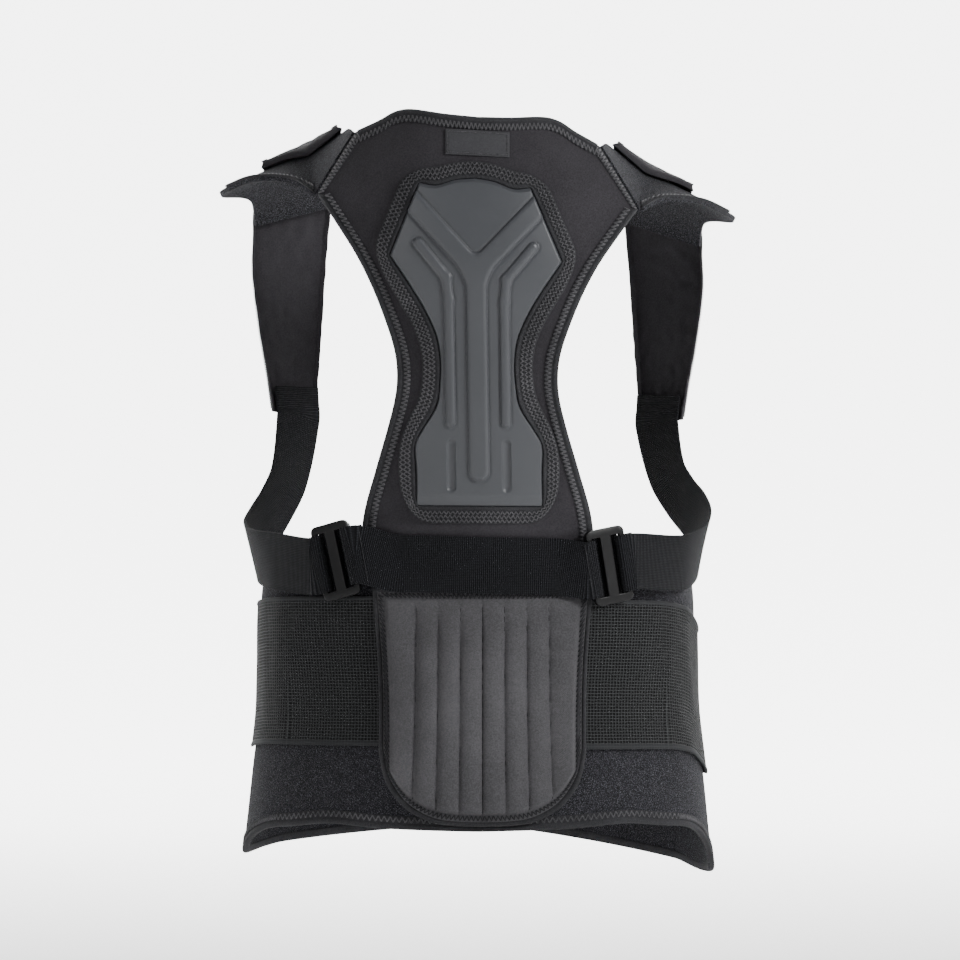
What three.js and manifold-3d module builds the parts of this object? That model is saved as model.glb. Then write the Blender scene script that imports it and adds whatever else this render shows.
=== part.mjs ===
// Posture corrector with a lumbar belt, kept in the form that it has when worn.
// Millimetres, +Z up. The origin is on the torso's axis, level with the waist, and the back of the brace is at -Y.
import * as THREE from 'three';
import Module from 'manifold-3d';
import { mergeVertices } from 'three/addons/utils/BufferGeometryUtils.js';

const wasm = await Module();
wasm.setup();

// Torso that the brace closes round
const waistHalfWidth = 143;
const waistHalfDepth = 98;
const waistSideRadius = 71;
const braceHeight = 520;
const shoulderTilt = 0.0002; // fall to the wearer's right, per mm across and per mm of height

// Layers, from the body outwards
const foam = 3;
const tape = 1;
const seat = 0.4; // gap between layers that touch
const meshWall = 1.8;
const webThickness = 1.6;
const strapFoam = 5;
const padFoam = 6.4;
const plateWall = 2.2;
const ribHeight = 2.4;
const slotDepth = 2;
const frameThickness = 1.4;
const labelThickness = 1.3;

// Sewn widths
const webWidth = 38;
const bindingWidth = 7;
const seamGap = 0.5;
const frameWidth = 12.2;

// Back panel
const chestHalfWidth = 107;
const chestHeight = 243.5;
const neckHeight = 301.5;
const wingSeamHalfWidth = 81;
const panelFoot = 3.4;
const neckTapeReach = 0.985; // share of the neckline
const seamTapeFoot = 1.03; // place up the panel
const seamTapeTop = 1.8;

// Back plate, its tilt on the panel and its relief
const plateHalfWidth = 57.2;
const plateHeight = 217;
const plateFoot = 39.3;
const plateLean = 0.015;
const plateMiddle = 136;
const ridgeWidth = 14;
const ribWidth = 7.5;
const slotWidth = 6.5;

// Label under the neckline
const labelWidth = 42.7;
const labelHeight = 17.6;
const labelFoot = 271.8;

// Lumbar pad
const padHalfWidth = 74;
const padTop = -15;
const padHeight = 158.6;
const padShift = 3.4;
const padChannels = 8;
const padRim = 3.6;
const padRimTape = 3;
const padUnderBand = 0.25; // share of its thickness left where the back band crosses it
const padSeamShare = 0.5; // share of its thickness left along a seam
const padFootThinning = 0.35;
const padFootStart = 0.85;
const elasticOff = foam + 2 * seat;
const padSeat = elasticOff + meshWall + seat;

// Lumbar belt and its elastic panels
const beltTop = 3;
const beltDrop = 173;
const beltEnd = 179.7; // degrees from the middle of the back
const elasticHeight = 100;
const elasticTop = -20;
const elasticStart = 5; // degrees, as all turns here
const elasticNarrows = 110;
const elasticEnd = 150;
const elasticTaper = 0.18; // of its height, at the top and at the foot of its end
const tabMargin = 0.16;
const tabGap = 0.3;
const tabEnd = 164;
const closureHalfTurn = 9;
const closureHeight = 140;
const bindingFree = 10; // turn left free of tape at both ends of the belt

// Shoulders
const shoulderReach = 176;
const shoulderHeight = 287;
const strapWidth = 70;
const strapNeckEdge = -0.95; // places across the layer, from -1 at the neck to 1 at the arm
const strapRearArmEdge = 0.3;
const wingTapeStart = 0.22; // past the corner of the chest
const wingTapeNear = 0.02; // places along the layer, from 0 at its rear edge
const wingTapeWidth = 0.13;

// Three-bar sliders
const sliderWidth = 29;
const sliderHeight = 51;
const sliderThickness = 3.4;
const outerBar = 4;
const middleBar = 8;
const slotSpare = 1; // above and below the web in its slot
const rail = (sliderHeight - webWidth - 2 * slotSpare) / 2;
const sliderCorner = 3;
const slotCorner = 1;
const sliderOff = 12.1;
const loopSpare = 0.8;
const tailLength = 10;
const loopLead = 6; // straight run of a web over its bar
const bandDrop = 1;
const bandPlaces = [-54, -40, -24, -8, 8, 24, 40, 54]; // across the back, on the panel and the pad
const bandSink = 0.45; // share of the pad's thickness under the band
const sliders = {
  left: { side: -1, across: 94.7, height: 2.6, lean: 14 },
  right: { side: 1, across: 88, height: -0.8, lean: 10 },
};

const bindingOff = foam + seat;
const plateOff = foam + 2 * seat;

// Sections of the torso as shares: height of braceHeight, the others of the waist's sizes
const torsoSections = [
  { height: -0.433, width: 1.126, depth: 1.184, radius: 1.1 },
  { height: -0.365, width: 1.098, depth: 1.143, radius: 1.1 },
  { height: -0.269, width: 1.063, depth: 1.102, radius: 1.07 },
  { height: -0.192, width: 1.031, depth: 1.061, radius: 1.04 },
  { height: -0.05, width: 1.021, depth: 1.01, radius: 1.014 },
  { height: 0.006, width: 1, depth: 1, radius: 1 },
  { height: 0.096, width: 1.007, depth: 1.041, radius: 1.014 },
  { height: 0.192, width: 1.049, depth: 1.102, radius: 1.042 },
  { height: 0.288, width: 1.091, depth: 1.163, radius: 1.07 },
  { height: 0.385, width: 1.119, depth: 1.224, radius: 1.1 },
  { height: 0.4615, width: 1.105, depth: 1.204, radius: 1.085 },
  { height: 0.519, width: 0.993, depth: 1.143, radius: 0.986 },
  { height: 0.5615, width: 0.867, depth: 1.041, radius: 0.845 },
  { height: 0.6, width: 0.741, depth: 0.918, radius: 0.704 },
];

// Half width of the back panel as shares of chestHalfWidth, at shares of chestHeight
const panelSides = [
  { height: 0, half: 0.735 },
  { height: 0.136, half: 0.706 },
  { height: 0.259, half: 0.629 },
  { height: 0.382, half: 0.547 },
  { height: 0.464, half: 0.503 },
  { height: 0.526, half: 0.495 },
  { height: 0.587, half: 0.514 },
  { height: 0.669, half: 0.575 },
  { height: 0.752, half: 0.652 },
  { height: 0.834, half: 0.748 },
  { height: 0.916, half: 0.869 },
  { height: 1, half: 1 },
];

// Neckline: drop below neckHeight as a share of it, at shares of the half width between the wing seams
const neckline = [
  { across: 0, drop: 0.011 },
  { across: 0.28, drop: 0.007 },
  { across: 0.5, drop: 0 },
  { across: 0.6, drop: 0 },
  { across: 0.7, drop: 0.008 },
  { across: 0.8, drop: 0.025 },
  { across: 1, drop: 0.0514 },
];

// Half width of the plate as shares of plateHalfWidth, at shares of plateHeight
const plateSides = [
  { height: 0, half: 0.735 },
  { height: 0.107, half: 0.732 },
  { height: 0.188, half: 0.738 },
  { height: 0.231, half: 0.652 },
  { height: 0.303, half: 0.483 },
  { height: 0.372, half: 0.437 },
  { height: 0.444, half: 0.427 },
  { height: 0.518, half: 0.472 },
  { height: 0.592, half: 0.596 },
  { height: 0.664, half: 0.76 },
  { height: 0.757, half: 1 },
];
const plateShoulder = plateSides[plateSides.length - 1].height;
const plateTopHalf = 0.645;

// Top edge of the plate: drop below its crest as a share of plateHeight, at shares of the top's half width
const plateCrest = [
  { across: 0, drop: 0 },
  { across: 0.35, drop: 0.008 },
  { across: 0.7, drop: 0.027 },
  { across: 1, drop: 0.02 },
];

// Relief of the plate, as shares of plateHalfWidth and plateHeight
const plateStem = [
  { across: 0, up: 0.08 },
  { across: 0, up: 0.4 },
  { across: 0, up: 0.72 },
];
const plateArm = [
  { across: 0, up: 0.715 },
  { across: 0.33, up: 0.805 },
  { across: 0.66, up: 0.9 },
];
const plateRib = [
  { across: 0.32, up: 0.241 },
  { across: 0.322, up: 0.43 },
  { across: 0.324, up: 0.631 },
  { across: 0.34, up: 0.69 },
  { across: 0.68, up: 0.8 },
];
const plateSlot = [
  { across: 0.322, up: 0.042 },
  { across: 0.322, up: 0.205 },
];

// Lumbar pad: half width as shares of padHalfWidth, at shares of its height
const padSides = [
  { down: 0, half: 1 },
  { down: 0.26, half: 0.97 },
  { down: 0.45, half: 0.951 },
  { down: 0.67, half: 0.94 },
  { down: 1, half: 0.938 },
];

// Lower edge of the pad: rise above its foot as a share of padHeight, at shares of the half width
const padFootEdge = [
  { across: 0, rise: 0 },
  { across: 0.25, rise: 0.003 },
  { across: 0.45, rise: 0.013 },
  { across: 0.62, rise: 0.04 },
  { across: 0.77, rise: 0.083 },
  { across: 0.885, rise: 0.143 },
  { across: 0.96, rise: 0.21 },
  { across: 1, rise: 0.3 },
];

// Lower edge of the belt: fall below beltDrop as shares of it, at degrees from the middle of the back
const beltFoot = [
  { turn: 0, left: 0.02, right: 0.02 },
  { turn: 20, left: 0.012, right: 0.012 },
  { turn: 32, left: 0, right: 0 },
  { turn: 42, left: 0.02, right: 0.017 },
  { turn: 55, left: 0.04, right: 0.034 },
  { turn: 64, left: 0.062, right: 0.06 },
  { turn: 73, left: 0.09, right: 0.105 },
  { turn: 82, left: 0.125, right: 0.16 },
  { turn: 95, left: 0.16, right: 0.23 },
  { turn: 120, left: 0.15, right: 0.23 },
  { turn: 180, left: 0.09, right: 0.09 },
];

// Fall of each elastic panel as shares of elasticHeight, at degrees from the middle of the back
const elasticFall = [
  { turn: 0, left: 0, right: 0.02 },
  { turn: 40, left: 0.02, right: 0.05 },
  { turn: 62, left: 0.035, right: 0.1 },
  { turn: 76, left: 0.055, right: 0.19 },
  { turn: 90, left: 0.075, right: 0.26 },
  { turn: 120, left: 0.06, right: 0.24 },
  { turn: 180, left: 0, right: 0 },
];

// Rear edge and ridge of a shoulder as shares: out of shoulderReach, front of waistHalfDepth, up of shoulderHeight
const shoulderEdge = [
  { place: -0.4, out: 0.611, front: -0.82, up: 0.85 },
  { place: 0, out: 0.716, front: -0.67, up: 0.873 },
  { place: 0.5, out: 0.858, front: -0.5, up: 0.877 },
  { place: 1, out: 0.97, front: -0.27, up: 0.857 },
];
const shoulderRidge = [
  { place: -1, out: 0.5, front: -0.36, up: 1 },
  { place: -0.4, out: 0.643, front: -0.16, up: 0.953 },
  { place: 0, out: 0.75, front: -0.1, up: 0.925 },
  { place: 0.5, out: 0.881, front: -0.05, up: 0.885 },
  { place: 1, out: 1, front: -0.02, up: 0.846 },
];

// Middle of the layer down the front, with its turn in plan, fall to the side and half width of strapWidth
const shoulderFront = [
  { out: 0.716, front: 0.275, up: 0.902, turn: -6, fall: 26, half: 0.52 },
  { out: 0.722, front: 0.58, up: 0.822, turn: -25, fall: 16, half: 0.46 },
  { out: 0.733, front: 0.653, up: 0.697, turn: -36, fall: 6, half: 0.46 },
  { out: 0.727, front: 0.633, up: 0.557, turn: -38, fall: 0, half: 0.4 },
  { out: 0.716, front: 0.602, up: 0.436, turn: -40, fall: -6, half: 0.33 },
  { out: 0.705, front: 0.582, up: 0.348, turn: -42, fall: -10, half: 0.3 },
];

// Route of the side straps: degrees from the middle of the back, rise as shares of webWidth, distance off the torso
const sideRoute = [
  { turn: 52, left: 0.04, right: 0.02, off: 12.5, lean: 4 },
  { turn: 66, left: 0.08, right: 0.12, off: 12.5, lean: 9 },
  { turn: 80, left: 0.16, right: 0.3, off: 13, lean: 14 },
  { turn: 94, left: 0.3, right: 0.58, off: 13, lean: 15 },
  { turn: 107, left: 0.56, right: 0.88, off: 11.5, lean: 12 },
  { turn: 119, left: 0.98, right: 1.22, off: 8, lean: 6 },
  { turn: 129, left: 1.53, right: 1.68, off: 4.4, lean: 0 },
];

const { lerp, degToRad, clamp, smoothstep } = THREE.MathUtils;

// Value in one column of a table, on a smooth curve through its rows
function read(table, key, value, place) {
  const last = table.length - 1;
  const at = clamp(place, table[0][key], table[last][key]);
  let row = 0;
  while (row < last - 1 && at > table[row + 1][key]) row += 1;
  const slope = (k) => {
    const before = table[Math.max(k - 1, 0)];
    const after = table[Math.min(k + 1, last)];
    return (after[value] - before[value]) / (after[key] - before[key]);
  };
  const span = table[row + 1][key] - table[row][key];
  const t = (at - table[row][key]) / span;
  const ends = table[row][value] * (1 + 2 * t) * (1 - t) ** 2 + table[row + 1][value] * t * t * (3 - 2 * t);
  return ends + span * (slope(row) * t * (1 - t) ** 2 - slope(row + 1) * t * t * (1 - t));
}

// The torso's section at a height: four arcs, back, front and two sides
function sectionAt(z) {
  const height = z / braceHeight;
  const halfWidth = waistHalfWidth * read(torsoSections, 'height', 'width', height);
  const halfDepth = waistHalfDepth * read(torsoSections, 'height', 'depth', height);
  const radius = waistSideRadius * read(torsoSections, 'height', 'radius', height);
  const flat = halfWidth - radius;
  const broad = (flat ** 2 + halfDepth ** 2 - radius ** 2) / (2 * (halfDepth - radius));
  return { flat, radius, broad, centre: broad - halfDepth, bend: Math.atan2(flat, broad - halfDepth) };
}

// Point at an angle from the middle of the back, in radians, and a distance off the torso
function torsoPoint(angle, z, off) {
  const form = sectionAt(z);
  const turn = angle > Math.PI ? angle - 2 * Math.PI : angle;
  const side = Math.sign(turn) || 1;
  const a = Math.abs(turn);
  const sine = Math.sin(a);
  const cosine = Math.cos(a);
  if (a > form.bend && a < Math.PI - form.bend) {
    const reach = form.radius + off;
    return new THREE.Vector3(side * (form.flat + reach * sine), -reach * cosine, z);
  }
  const reach = form.broad + off;
  const centre = a <= form.bend ? form.centre : -form.centre;
  return new THREE.Vector3(side * reach * sine, centre - reach * cosine, z);
}

// Angle at which the back lies a distance x to the side
function backAngle(x, z, off) {
  const form = sectionAt(z);
  const across = Math.abs(x);
  const reach = form.broad + off;
  const angle = across < reach * Math.sin(form.bend)
    ? Math.asin(across / reach)
    : Math.asin(clamp((across - form.flat) / (form.radius + off), 0, 1));
  return Math.sign(x) * angle;
}

function backPoint(x, z, off) {
  return torsoPoint(backAngle(x, z, off), z, off);
}

function backWall(x, z, inner, outer) {
  return [backPoint(x, z, inner), backPoint(x, z, outer)];
}

// Grid of pairs of points, rows by columns, from shares 0 to 1
function grid(rows, columns, pairAt) {
  return Array.from({ length: rows + 1 }, (_, i) =>
    Array.from({ length: columns + 1 }, (__, j) => pairAt(i / rows, j / columns)));
}

// Closed shape between an inner and an outer face; a ring joins its last row to its first
function slab(rows, ring = false) {
  const columns = rows[0].length;
  const positions = [];
  for (const row of rows) {
    for (const pair of row) {
      for (const point of pair) {
        const fall = point.x * Math.max(point.z, 0) * shoulderTilt;
        positions.push(point.x, point.y, point.z - fall);
      }
    }
  }
  const index = [];
  const at = (row, column, face) => ((row % rows.length) * columns + column) * 2 + face;
  const quad = (a, b, c, d) => index.push(a, b, c, a, c, d);
  const steps = ring ? rows.length : rows.length - 1;
  const last = columns - 1;
  for (let i = 0; i < steps; i += 1) {
    for (let j = 0; j < last; j += 1) {
      quad(at(i, j, 1), at(i, j + 1, 1), at(i + 1, j + 1, 1), at(i + 1, j, 1));
      quad(at(i, j, 0), at(i + 1, j, 0), at(i + 1, j + 1, 0), at(i, j + 1, 0));
    }
    quad(at(i, 0, 0), at(i, 0, 1), at(i + 1, 0, 1), at(i + 1, 0, 0));
    quad(at(i, last, 1), at(i, last, 0), at(i + 1, last, 0), at(i + 1, last, 1));
  }
  for (let j = 0; !ring && j < last; j += 1) {
    quad(at(0, j, 0), at(0, j + 1, 0), at(0, j + 1, 1), at(0, j, 1));
    quad(at(steps, j, 1), at(steps, j + 1, 1), at(steps, j + 1, 0), at(steps, j, 0));
  }
  return facingOut(positions, index);
}

// Geometry whose triangles are turned round if they enclose a negative volume
function facingOut(positions, index) {
  const corner = (k) => new THREE.Vector3().fromArray(positions, index[k] * 3);
  let volume = 0;
  for (let k = 0; k < index.length; k += 3) {
    volume += corner(k).dot(corner(k + 1).cross(corner(k + 2)));
  }
  const turned = volume < 0 ? [...index].reverse() : index;
  const geometry = new THREE.BufferGeometry();
  geometry.setAttribute('position', new THREE.Float32BufferAttribute(positions, 3));
  geometry.setIndex(turned);
  geometry.computeVertexNormals();
  return geometry;
}

const fabric = (colour, roughness) => new THREE.MeshStandardMaterial({ color: colour, roughness, metalness: 0 });
const neoprene = fabric(0x2b2a2e, 0.95);
const loopPile = fabric(0x1e1f25, 1);
const bindingTape = fabric(0x222226, 0.9);
const elastic = fabric(0x17181c, 0.9);
const openElastic = fabric(0x1c1e20, 0.9);
const padCloth = fabric(0x38383b, 0.85);
const moulded = new THREE.MeshStandardMaterial({ color: 0x3a3b40, roughness: 0.5, metalness: 0 });
const sliderPlastic = new THREE.MeshStandardMaterial({ color: 0x1b1b1c, roughness: 0.4, metalness: 0 });

const brace = new THREE.Group();

function add(name, geometry, material) {
  const mesh = new THREE.Mesh(geometry, material);
  mesh.name = name;
  brace.add(mesh);
  return mesh;
}

// Place on the back panel: across from -1 to 1, up from 0 at its foot to 1 at the chest and 2 at the neckline
function panelPlace(across, up, inset = 0) {
  if (up <= 1) {
    const z = lerp(panelFoot, chestHeight, up);
    const half = chestHalfWidth * read(panelSides, 'height', 'half', z / chestHeight) - inset;
    return { x: across * half, z };
  }
  const top = neckHeight * (1 - read(neckline, 'across', 'drop', Math.abs(across))) - inset;
  const half = lerp(chestHalfWidth, wingSeamHalfWidth, up - 1) - inset;
  return { x: across * half, z: lerp(chestHeight, top, up - 1) };
}

const panelRows = 24;
const panelChestRow = 17;
const panelUp = (share) => {
  const row = share * panelRows;
  return row <= panelChestRow ? row / panelChestRow : 1 + (row - panelChestRow) / (panelRows - panelChestRow);
};

function backPanel() {
  return slab(grid(panelRows, 12, (v, u) => {
    const { x, z } = panelPlace(2 * u - 1, panelUp(v));
    return backWall(x, z, 0, foam);
  }));
}

// Tape along the neckline
function neckBinding() {
  return slab(grid(24, 1, (v, u) => {
    const { x, z } = panelPlace((2 * v - 1) * neckTapeReach, 2, u * bindingWidth);
    return backWall(x, z, bindingOff, bindingOff + tape);
  }));
}

// Tape along an armhole edge, from the panel's foot to the wing seam
function armholeBinding(side) {
  return slab(grid(20, 1, (v, u) => {
    const { x, z } = panelPlace(side, v, u * bindingWidth);
    return backWall(x, z, bindingOff, bindingOff + tape);
  }));
}

// Tape beside the slanted seam between the panel and a wing
function wingSeamTape(side) {
  return slab(grid(4, 1, (v, u) => {
    const { x, z } = panelPlace(side, lerp(seamTapeFoot, seamTapeTop, v), u * bindingWidth / 2);
    return backWall(x, z, bindingOff, bindingOff + tape);
  }));
}

// Place on the plate: across from -1 to 1, up from 0 to 1 at its shoulder and 2 at its top edge
function platePlace(across, up) {
  const lower = Math.min(up, 1) * plateShoulder;
  let half = read(plateSides, 'height', 'half', lower);
  let height = lower;
  if (up > 1) {
    half = lerp(1, plateTopHalf, up - 1);
    height = lerp(plateShoulder, 1 - read(plateCrest, 'across', 'drop', Math.abs(across)), up - 1);
  }
  return leaned(across * half, height);
}

// Place in millimetres of a share of the plate's half width and height, with the plate's lean
function leaned(across, height) {
  const z = plateFoot + height * plateHeight;
  return { x: across * plateHalfWidth + plateLean * (plateMiddle - z), z };
}

const plateRows = 20;
const plateColumns = 8;

// Place up the plate of a share of its rows
const plateUp = (share) => 2 * share;

// The plate's outline, once round
function plateOutline() {
  const edge = [];
  for (let i = 0; i < plateRows; i += 1) edge.push(platePlace(-1, plateUp(i / plateRows)));
  for (let j = 0; j < plateColumns; j += 1) edge.push(platePlace(2 * j / plateColumns - 1, 2));
  for (let i = plateRows; i > 0; i -= 1) edge.push(platePlace(1, plateUp(i / plateRows)));
  for (let j = plateColumns; j > 0; j -= 1) edge.push(platePlace(2 * j / plateColumns - 1, 0));
  return edge;
}

const sharpestMitre = 0.92;

// Outline moved outwards by a distance, with mitred corners
function spread(outline, distance) {
  return outline.map((point, k) => {
    const before = outline[(k + outline.length - 1) % outline.length];
    const after = outline[(k + 1) % outline.length];
    const into = new THREE.Vector2(point.x - before.x, point.z - before.z).normalize();
    const out = new THREE.Vector2(after.x - point.x, after.z - point.z).normalize();
    const normal = new THREE.Vector2(-into.y - out.y, into.x + out.x).normalize();
    const mitre = distance / Math.max(-normal.x * into.y + normal.y * into.x, sharpestMitre);
    return { x: point.x + normal.x * mitre, z: point.z + normal.y * mitre };
  });
}

// Flat ring on the back between two outlines
function outlineRing(inside, outside, inner, outer) {
  return slab(inside.map((point, k) => [
    backWall(point.x, point.z, inner, outer),
    backWall(outside[k].x, outside[k].z, inner, outer),
  ]), true);
}

function plateFrame() {
  const outline = plateOutline();
  return outlineRing(spread(outline, seat), spread(outline, frameWidth), plateOff, plateOff + frameThickness);
}

// Raised or sunk bar along a line of shares on the plate, with sloped walls
function reliefBar(line, mirror, width, low, high) {
  const curve = new THREE.CatmullRomCurve3(line.map((row) => {
    const place = leaned(row.across * mirror, row.up);
    return new THREE.Vector3(place.x, 0, place.z);
  }), false, 'centripetal');
  const steps = 3 * (line.length - 1);
  const walls = [
    { at: -0.5, off: low },
    { at: -0.3, off: high },
    { at: 0.3, off: high },
    { at: 0.5, off: low },
  ];
  const floor = Math.min(low, high) - tape;
  return slab(Array.from({ length: steps + 1 }, (_, i) => {
    const point = curve.getPoint(i / steps);
    const run = curve.getTangent(i / steps);
    return walls.map((wall) => {
      const x = point.x + run.z * wall.at * width;
      const z = point.z - run.x * wall.at * width;
      return backWall(x, z, floor, wall.off);
    });
  }));
}

// Joins and cuts geometries
function solid(geometry) {
  const plain = geometry.clone();
  plain.deleteAttribute('normal');
  plain.deleteAttribute('uv');
  const merged = mergeVertices(plain);
  return new wasm.Manifold(new wasm.Mesh({
    numProp: 3,
    vertProperties: new Float32Array(merged.attributes.position.array),
    triVerts: new Uint32Array(merged.index.array),
  }));
}

function geometryOf(manifold) {
  const mesh = manifold.getMesh();
  const geometry = new THREE.BufferGeometry();
  geometry.setAttribute('position', new THREE.Float32BufferAttribute(mesh.vertProperties, 3));
  geometry.setIndex([...mesh.triVerts]);
  geometry.computeVertexNormals();
  return geometry;
}

function backPlate() {
  const face = plateOff + plateWall;
  const crown = face + ribHeight;
  const root = face - tape / 2;
  let plate = solid(slab(grid(plateRows, plateColumns, (v, u) => {
    const { x, z } = platePlace(2 * u - 1, plateUp(v));
    return backWall(x, z, plateOff, face);
  })));
  plate = plate.add(solid(reliefBar(plateStem, 1, ridgeWidth, root, crown)));
  for (const mirror of [-1, 1]) {
    plate = plate.add(solid(reliefBar(plateArm, mirror, ridgeWidth, root, crown)));
    plate = plate.add(solid(reliefBar(plateRib, mirror, ribWidth, root, crown)));
    const slot = solid(reliefBar(plateSlot, mirror, slotWidth, crown, crown)).translate([0, -slotDepth, 0]);
    plate = plate.subtract(slot);
  }
  return geometryOf(plate);
}

function labelPatch() {
  return slab(grid(1, 6, (v, u) => {
    const x = (u - 0.5) * labelWidth;
    return backWall(x, labelFoot + v * labelHeight, bindingOff, bindingOff + labelThickness);
  }));
}

// Angles round the torso, in degrees, close together where it bends most
function ringAngles(from, to) {
  const all = [];
  for (let turn = -180; turn <= 180;) {
    all.push(turn);
    const across = Math.abs(turn < 0 ? turn + 1 : turn);
    turn += across < 40 || across >= 140 ? 5 : 10;
  }
  return [from, ...all.filter((turn) => turn > from + 1 && turn < to - 1), to];
}

const sideOf = (turn) => (turn < 0 ? 'left' : 'right');

function beltFootAt(turn) {
  const across = Math.abs(turn);
  return -beltDrop * (1 + read(beltFoot, 'turn', sideOf(turn), across));
}

// Part of the belt's ring between two heights that may change round the torso
function ringBand(from, to, topAt, footAt, inner, outer, columns = 1) {
  return slab(ringAngles(from, to).map((turn) =>
    Array.from({ length: columns + 1 }, (_, j) => {
      const z = lerp(topAt(turn), footAt(turn), j / columns);
      return [torsoPoint(degToRad(turn), z, inner), torsoPoint(degToRad(turn), z, outer)];
    })));
}

function lumbarBelt() {
  return ringBand(-beltEnd, beltEnd, () => beltTop, beltFootAt, 0, foam, 6);
}

function beltBinding(top) {
  const edge = top ? () => beltTop : (turn) => beltFootAt(turn) + bindingWidth;
  const foot = (turn) => edge(turn) - bindingWidth;
  return ringBand(-beltEnd + bindingFree, beltEnd - bindingFree, edge, foot, bindingOff, bindingOff + tape);
}

function elasticTopAt(turn) {
  return elasticTop - elasticHeight * read(elasticFall, 'turn', sideOf(turn), Math.abs(turn));
}

// Elastic panel from under the pad to its tab; the front end narrows to the tab
function elasticPanel(side) {
  const ends = [side * elasticStart, side * elasticEnd].sort((a, b) => a - b);
  const narrow = (turn) => elasticHeight * elasticTaper * smoothstep(Math.abs(turn), elasticNarrows, elasticEnd);
  const top = (turn) => elasticTopAt(turn) - narrow(turn);
  const foot = (turn) => elasticTopAt(turn) - elasticHeight + narrow(turn);
  return ringBand(...ends, top, foot, elasticOff, elasticOff + meshWall, 4);
}

function elasticTab(side) {
  const ends = [side * (elasticEnd + tabGap), side * tabEnd].sort((a, b) => a - b);
  const top = (turn) => elasticTopAt(turn) - elasticHeight * tabMargin;
  const foot = (turn) => elasticTopAt(turn) - elasticHeight * (1 - tabMargin);
  return ringBand(...ends, top, foot, elasticOff, elasticOff + meshWall + tape, 3);
}

// Plain overlap that closes the belt in front
function beltClosure() {
  const turns = [-1, -0.5, 0, 0.5, 1].map((share) => Math.PI + degToRad(share * closureHalfTurn));
  return slab(turns.map((angle) => [0, 0.5, 1].map((share) => {
    const z = lerp(elasticTop, elasticTop - closureHeight, share);
    return [torsoPoint(angle, z, bindingOff), torsoPoint(angle, z, bindingOff + meshWall)];
  })));
}

// Place on the lumbar pad: across from -1 to 1, down from 0 to 1, inside its edge by an inset
function padPlace(across, down, inset) {
  const half = padHalfWidth * read(padSides, 'down', 'half', down) - inset;
  const rise = padHeight * read(padFootEdge, 'across', 'rise', Math.abs(across));
  const foot = padTop - padHeight + rise + inset;
  return { x: padShift + across * half, z: lerp(padTop - inset, foot, down) };
}

// The pad is thin where the back band crosses it
function padSwell(z) {
  return lerp(padUnderBand, 1, smoothstep(padTop - z, 2 * padRim, webWidth));
}

function lumbarPad() {
  const columns = 3 * padChannels;
  return slab(grid(10, columns, (v, u) => {
    const { x, z } = padPlace(2 * u - 1, v, padRim + seat);
    const channel = Math.abs(Math.sin(Math.PI * u * padChannels));
    const edge = 1 - padFootThinning * smoothstep(v, padFootStart, 1);
    const thick = padFoam * lerp(padSeamShare, 1, channel) * padSwell(z) * edge;
    return backWall(x, z, padSeat, padSeat + thick);
  }));
}

function padBinding() {
  const rows = 14;
  const columns = 24;
  const around = [];
  for (let i = 0; i < rows; i += 1) around.push([-1, i / rows]);
  for (let j = 0; j < columns; j += 1) around.push([2 * j / columns - 1, 1]);
  for (let i = rows; i > 0; i -= 1) around.push([1, i / rows]);
  for (let j = columns; j > 0; j -= 1) around.push([2 * j / columns - 1, 0]);
  return slab(around.map(([across, down]) => [padRim, 0].map((inset) => {
    const { x, z } = padPlace(across, down, inset);
    return backWall(x, z, padSeat, padSeat + padRimTape * padSwell(z));
  })), true);
}

// Point on the layer over a shoulder: place from -1 at the neck to 1 at the arm, along from 0 at the rear edge
function shoulderPoint(side, place, along) {
  const rows = [rearPoint(place), ridgePoint(place), ...shoulderFront.map((row) => frontPoint(row, place))];
  const curve = new THREE.CatmullRomCurve3(rows, false, 'catmullrom', 0.5);
  const point = curve.getPoint(clamp(along / (rows.length - 1), 0, 1));
  return new THREE.Vector3(side * point.x, point.y, point.z);
}

function rearPoint(place) {
  if (place <= shoulderEdge[0].place) {
    const up = 1 + clamp((shoulderEdge[0].place - place) / (shoulderEdge[0].place + 1), 0, 1);
    const seam = panelPlace(1, up);
    return backPoint(seam.x + seamGap, seam.z, 0);
  }
  const foot = backPoint(chestHalfWidth + seamGap, chestHeight, 0);
  const blend = smoothstep(place, shoulderEdge[0].place, 0);
  return foot.lerp(tablePoint(shoulderEdge, place), blend);
}

const ridgePoint = (place) => tablePoint(shoulderRidge, place);

function tablePoint(table, place) {
  return new THREE.Vector3(
    shoulderReach * read(table, 'place', 'out', place),
    waistHalfDepth * read(table, 'place', 'front', place),
    shoulderHeight * read(table, 'place', 'up', place),
  );
}

function frontPoint(row, place) {
  const turn = degToRad(row.turn);
  const fall = degToRad(row.fall);
  const across = new THREE.Vector3(Math.cos(turn) * Math.cos(fall), Math.sin(turn) * Math.cos(fall), -Math.sin(fall));
  const middle = new THREE.Vector3(row.out * shoulderReach, row.front * waistHalfDepth, row.up * shoulderHeight);
  return middle.addScaledVector(across, place * row.half * strapWidth);
}

const panelBlendAlong = 0.25;
const panelBlendPlace = 0.2;

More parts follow.
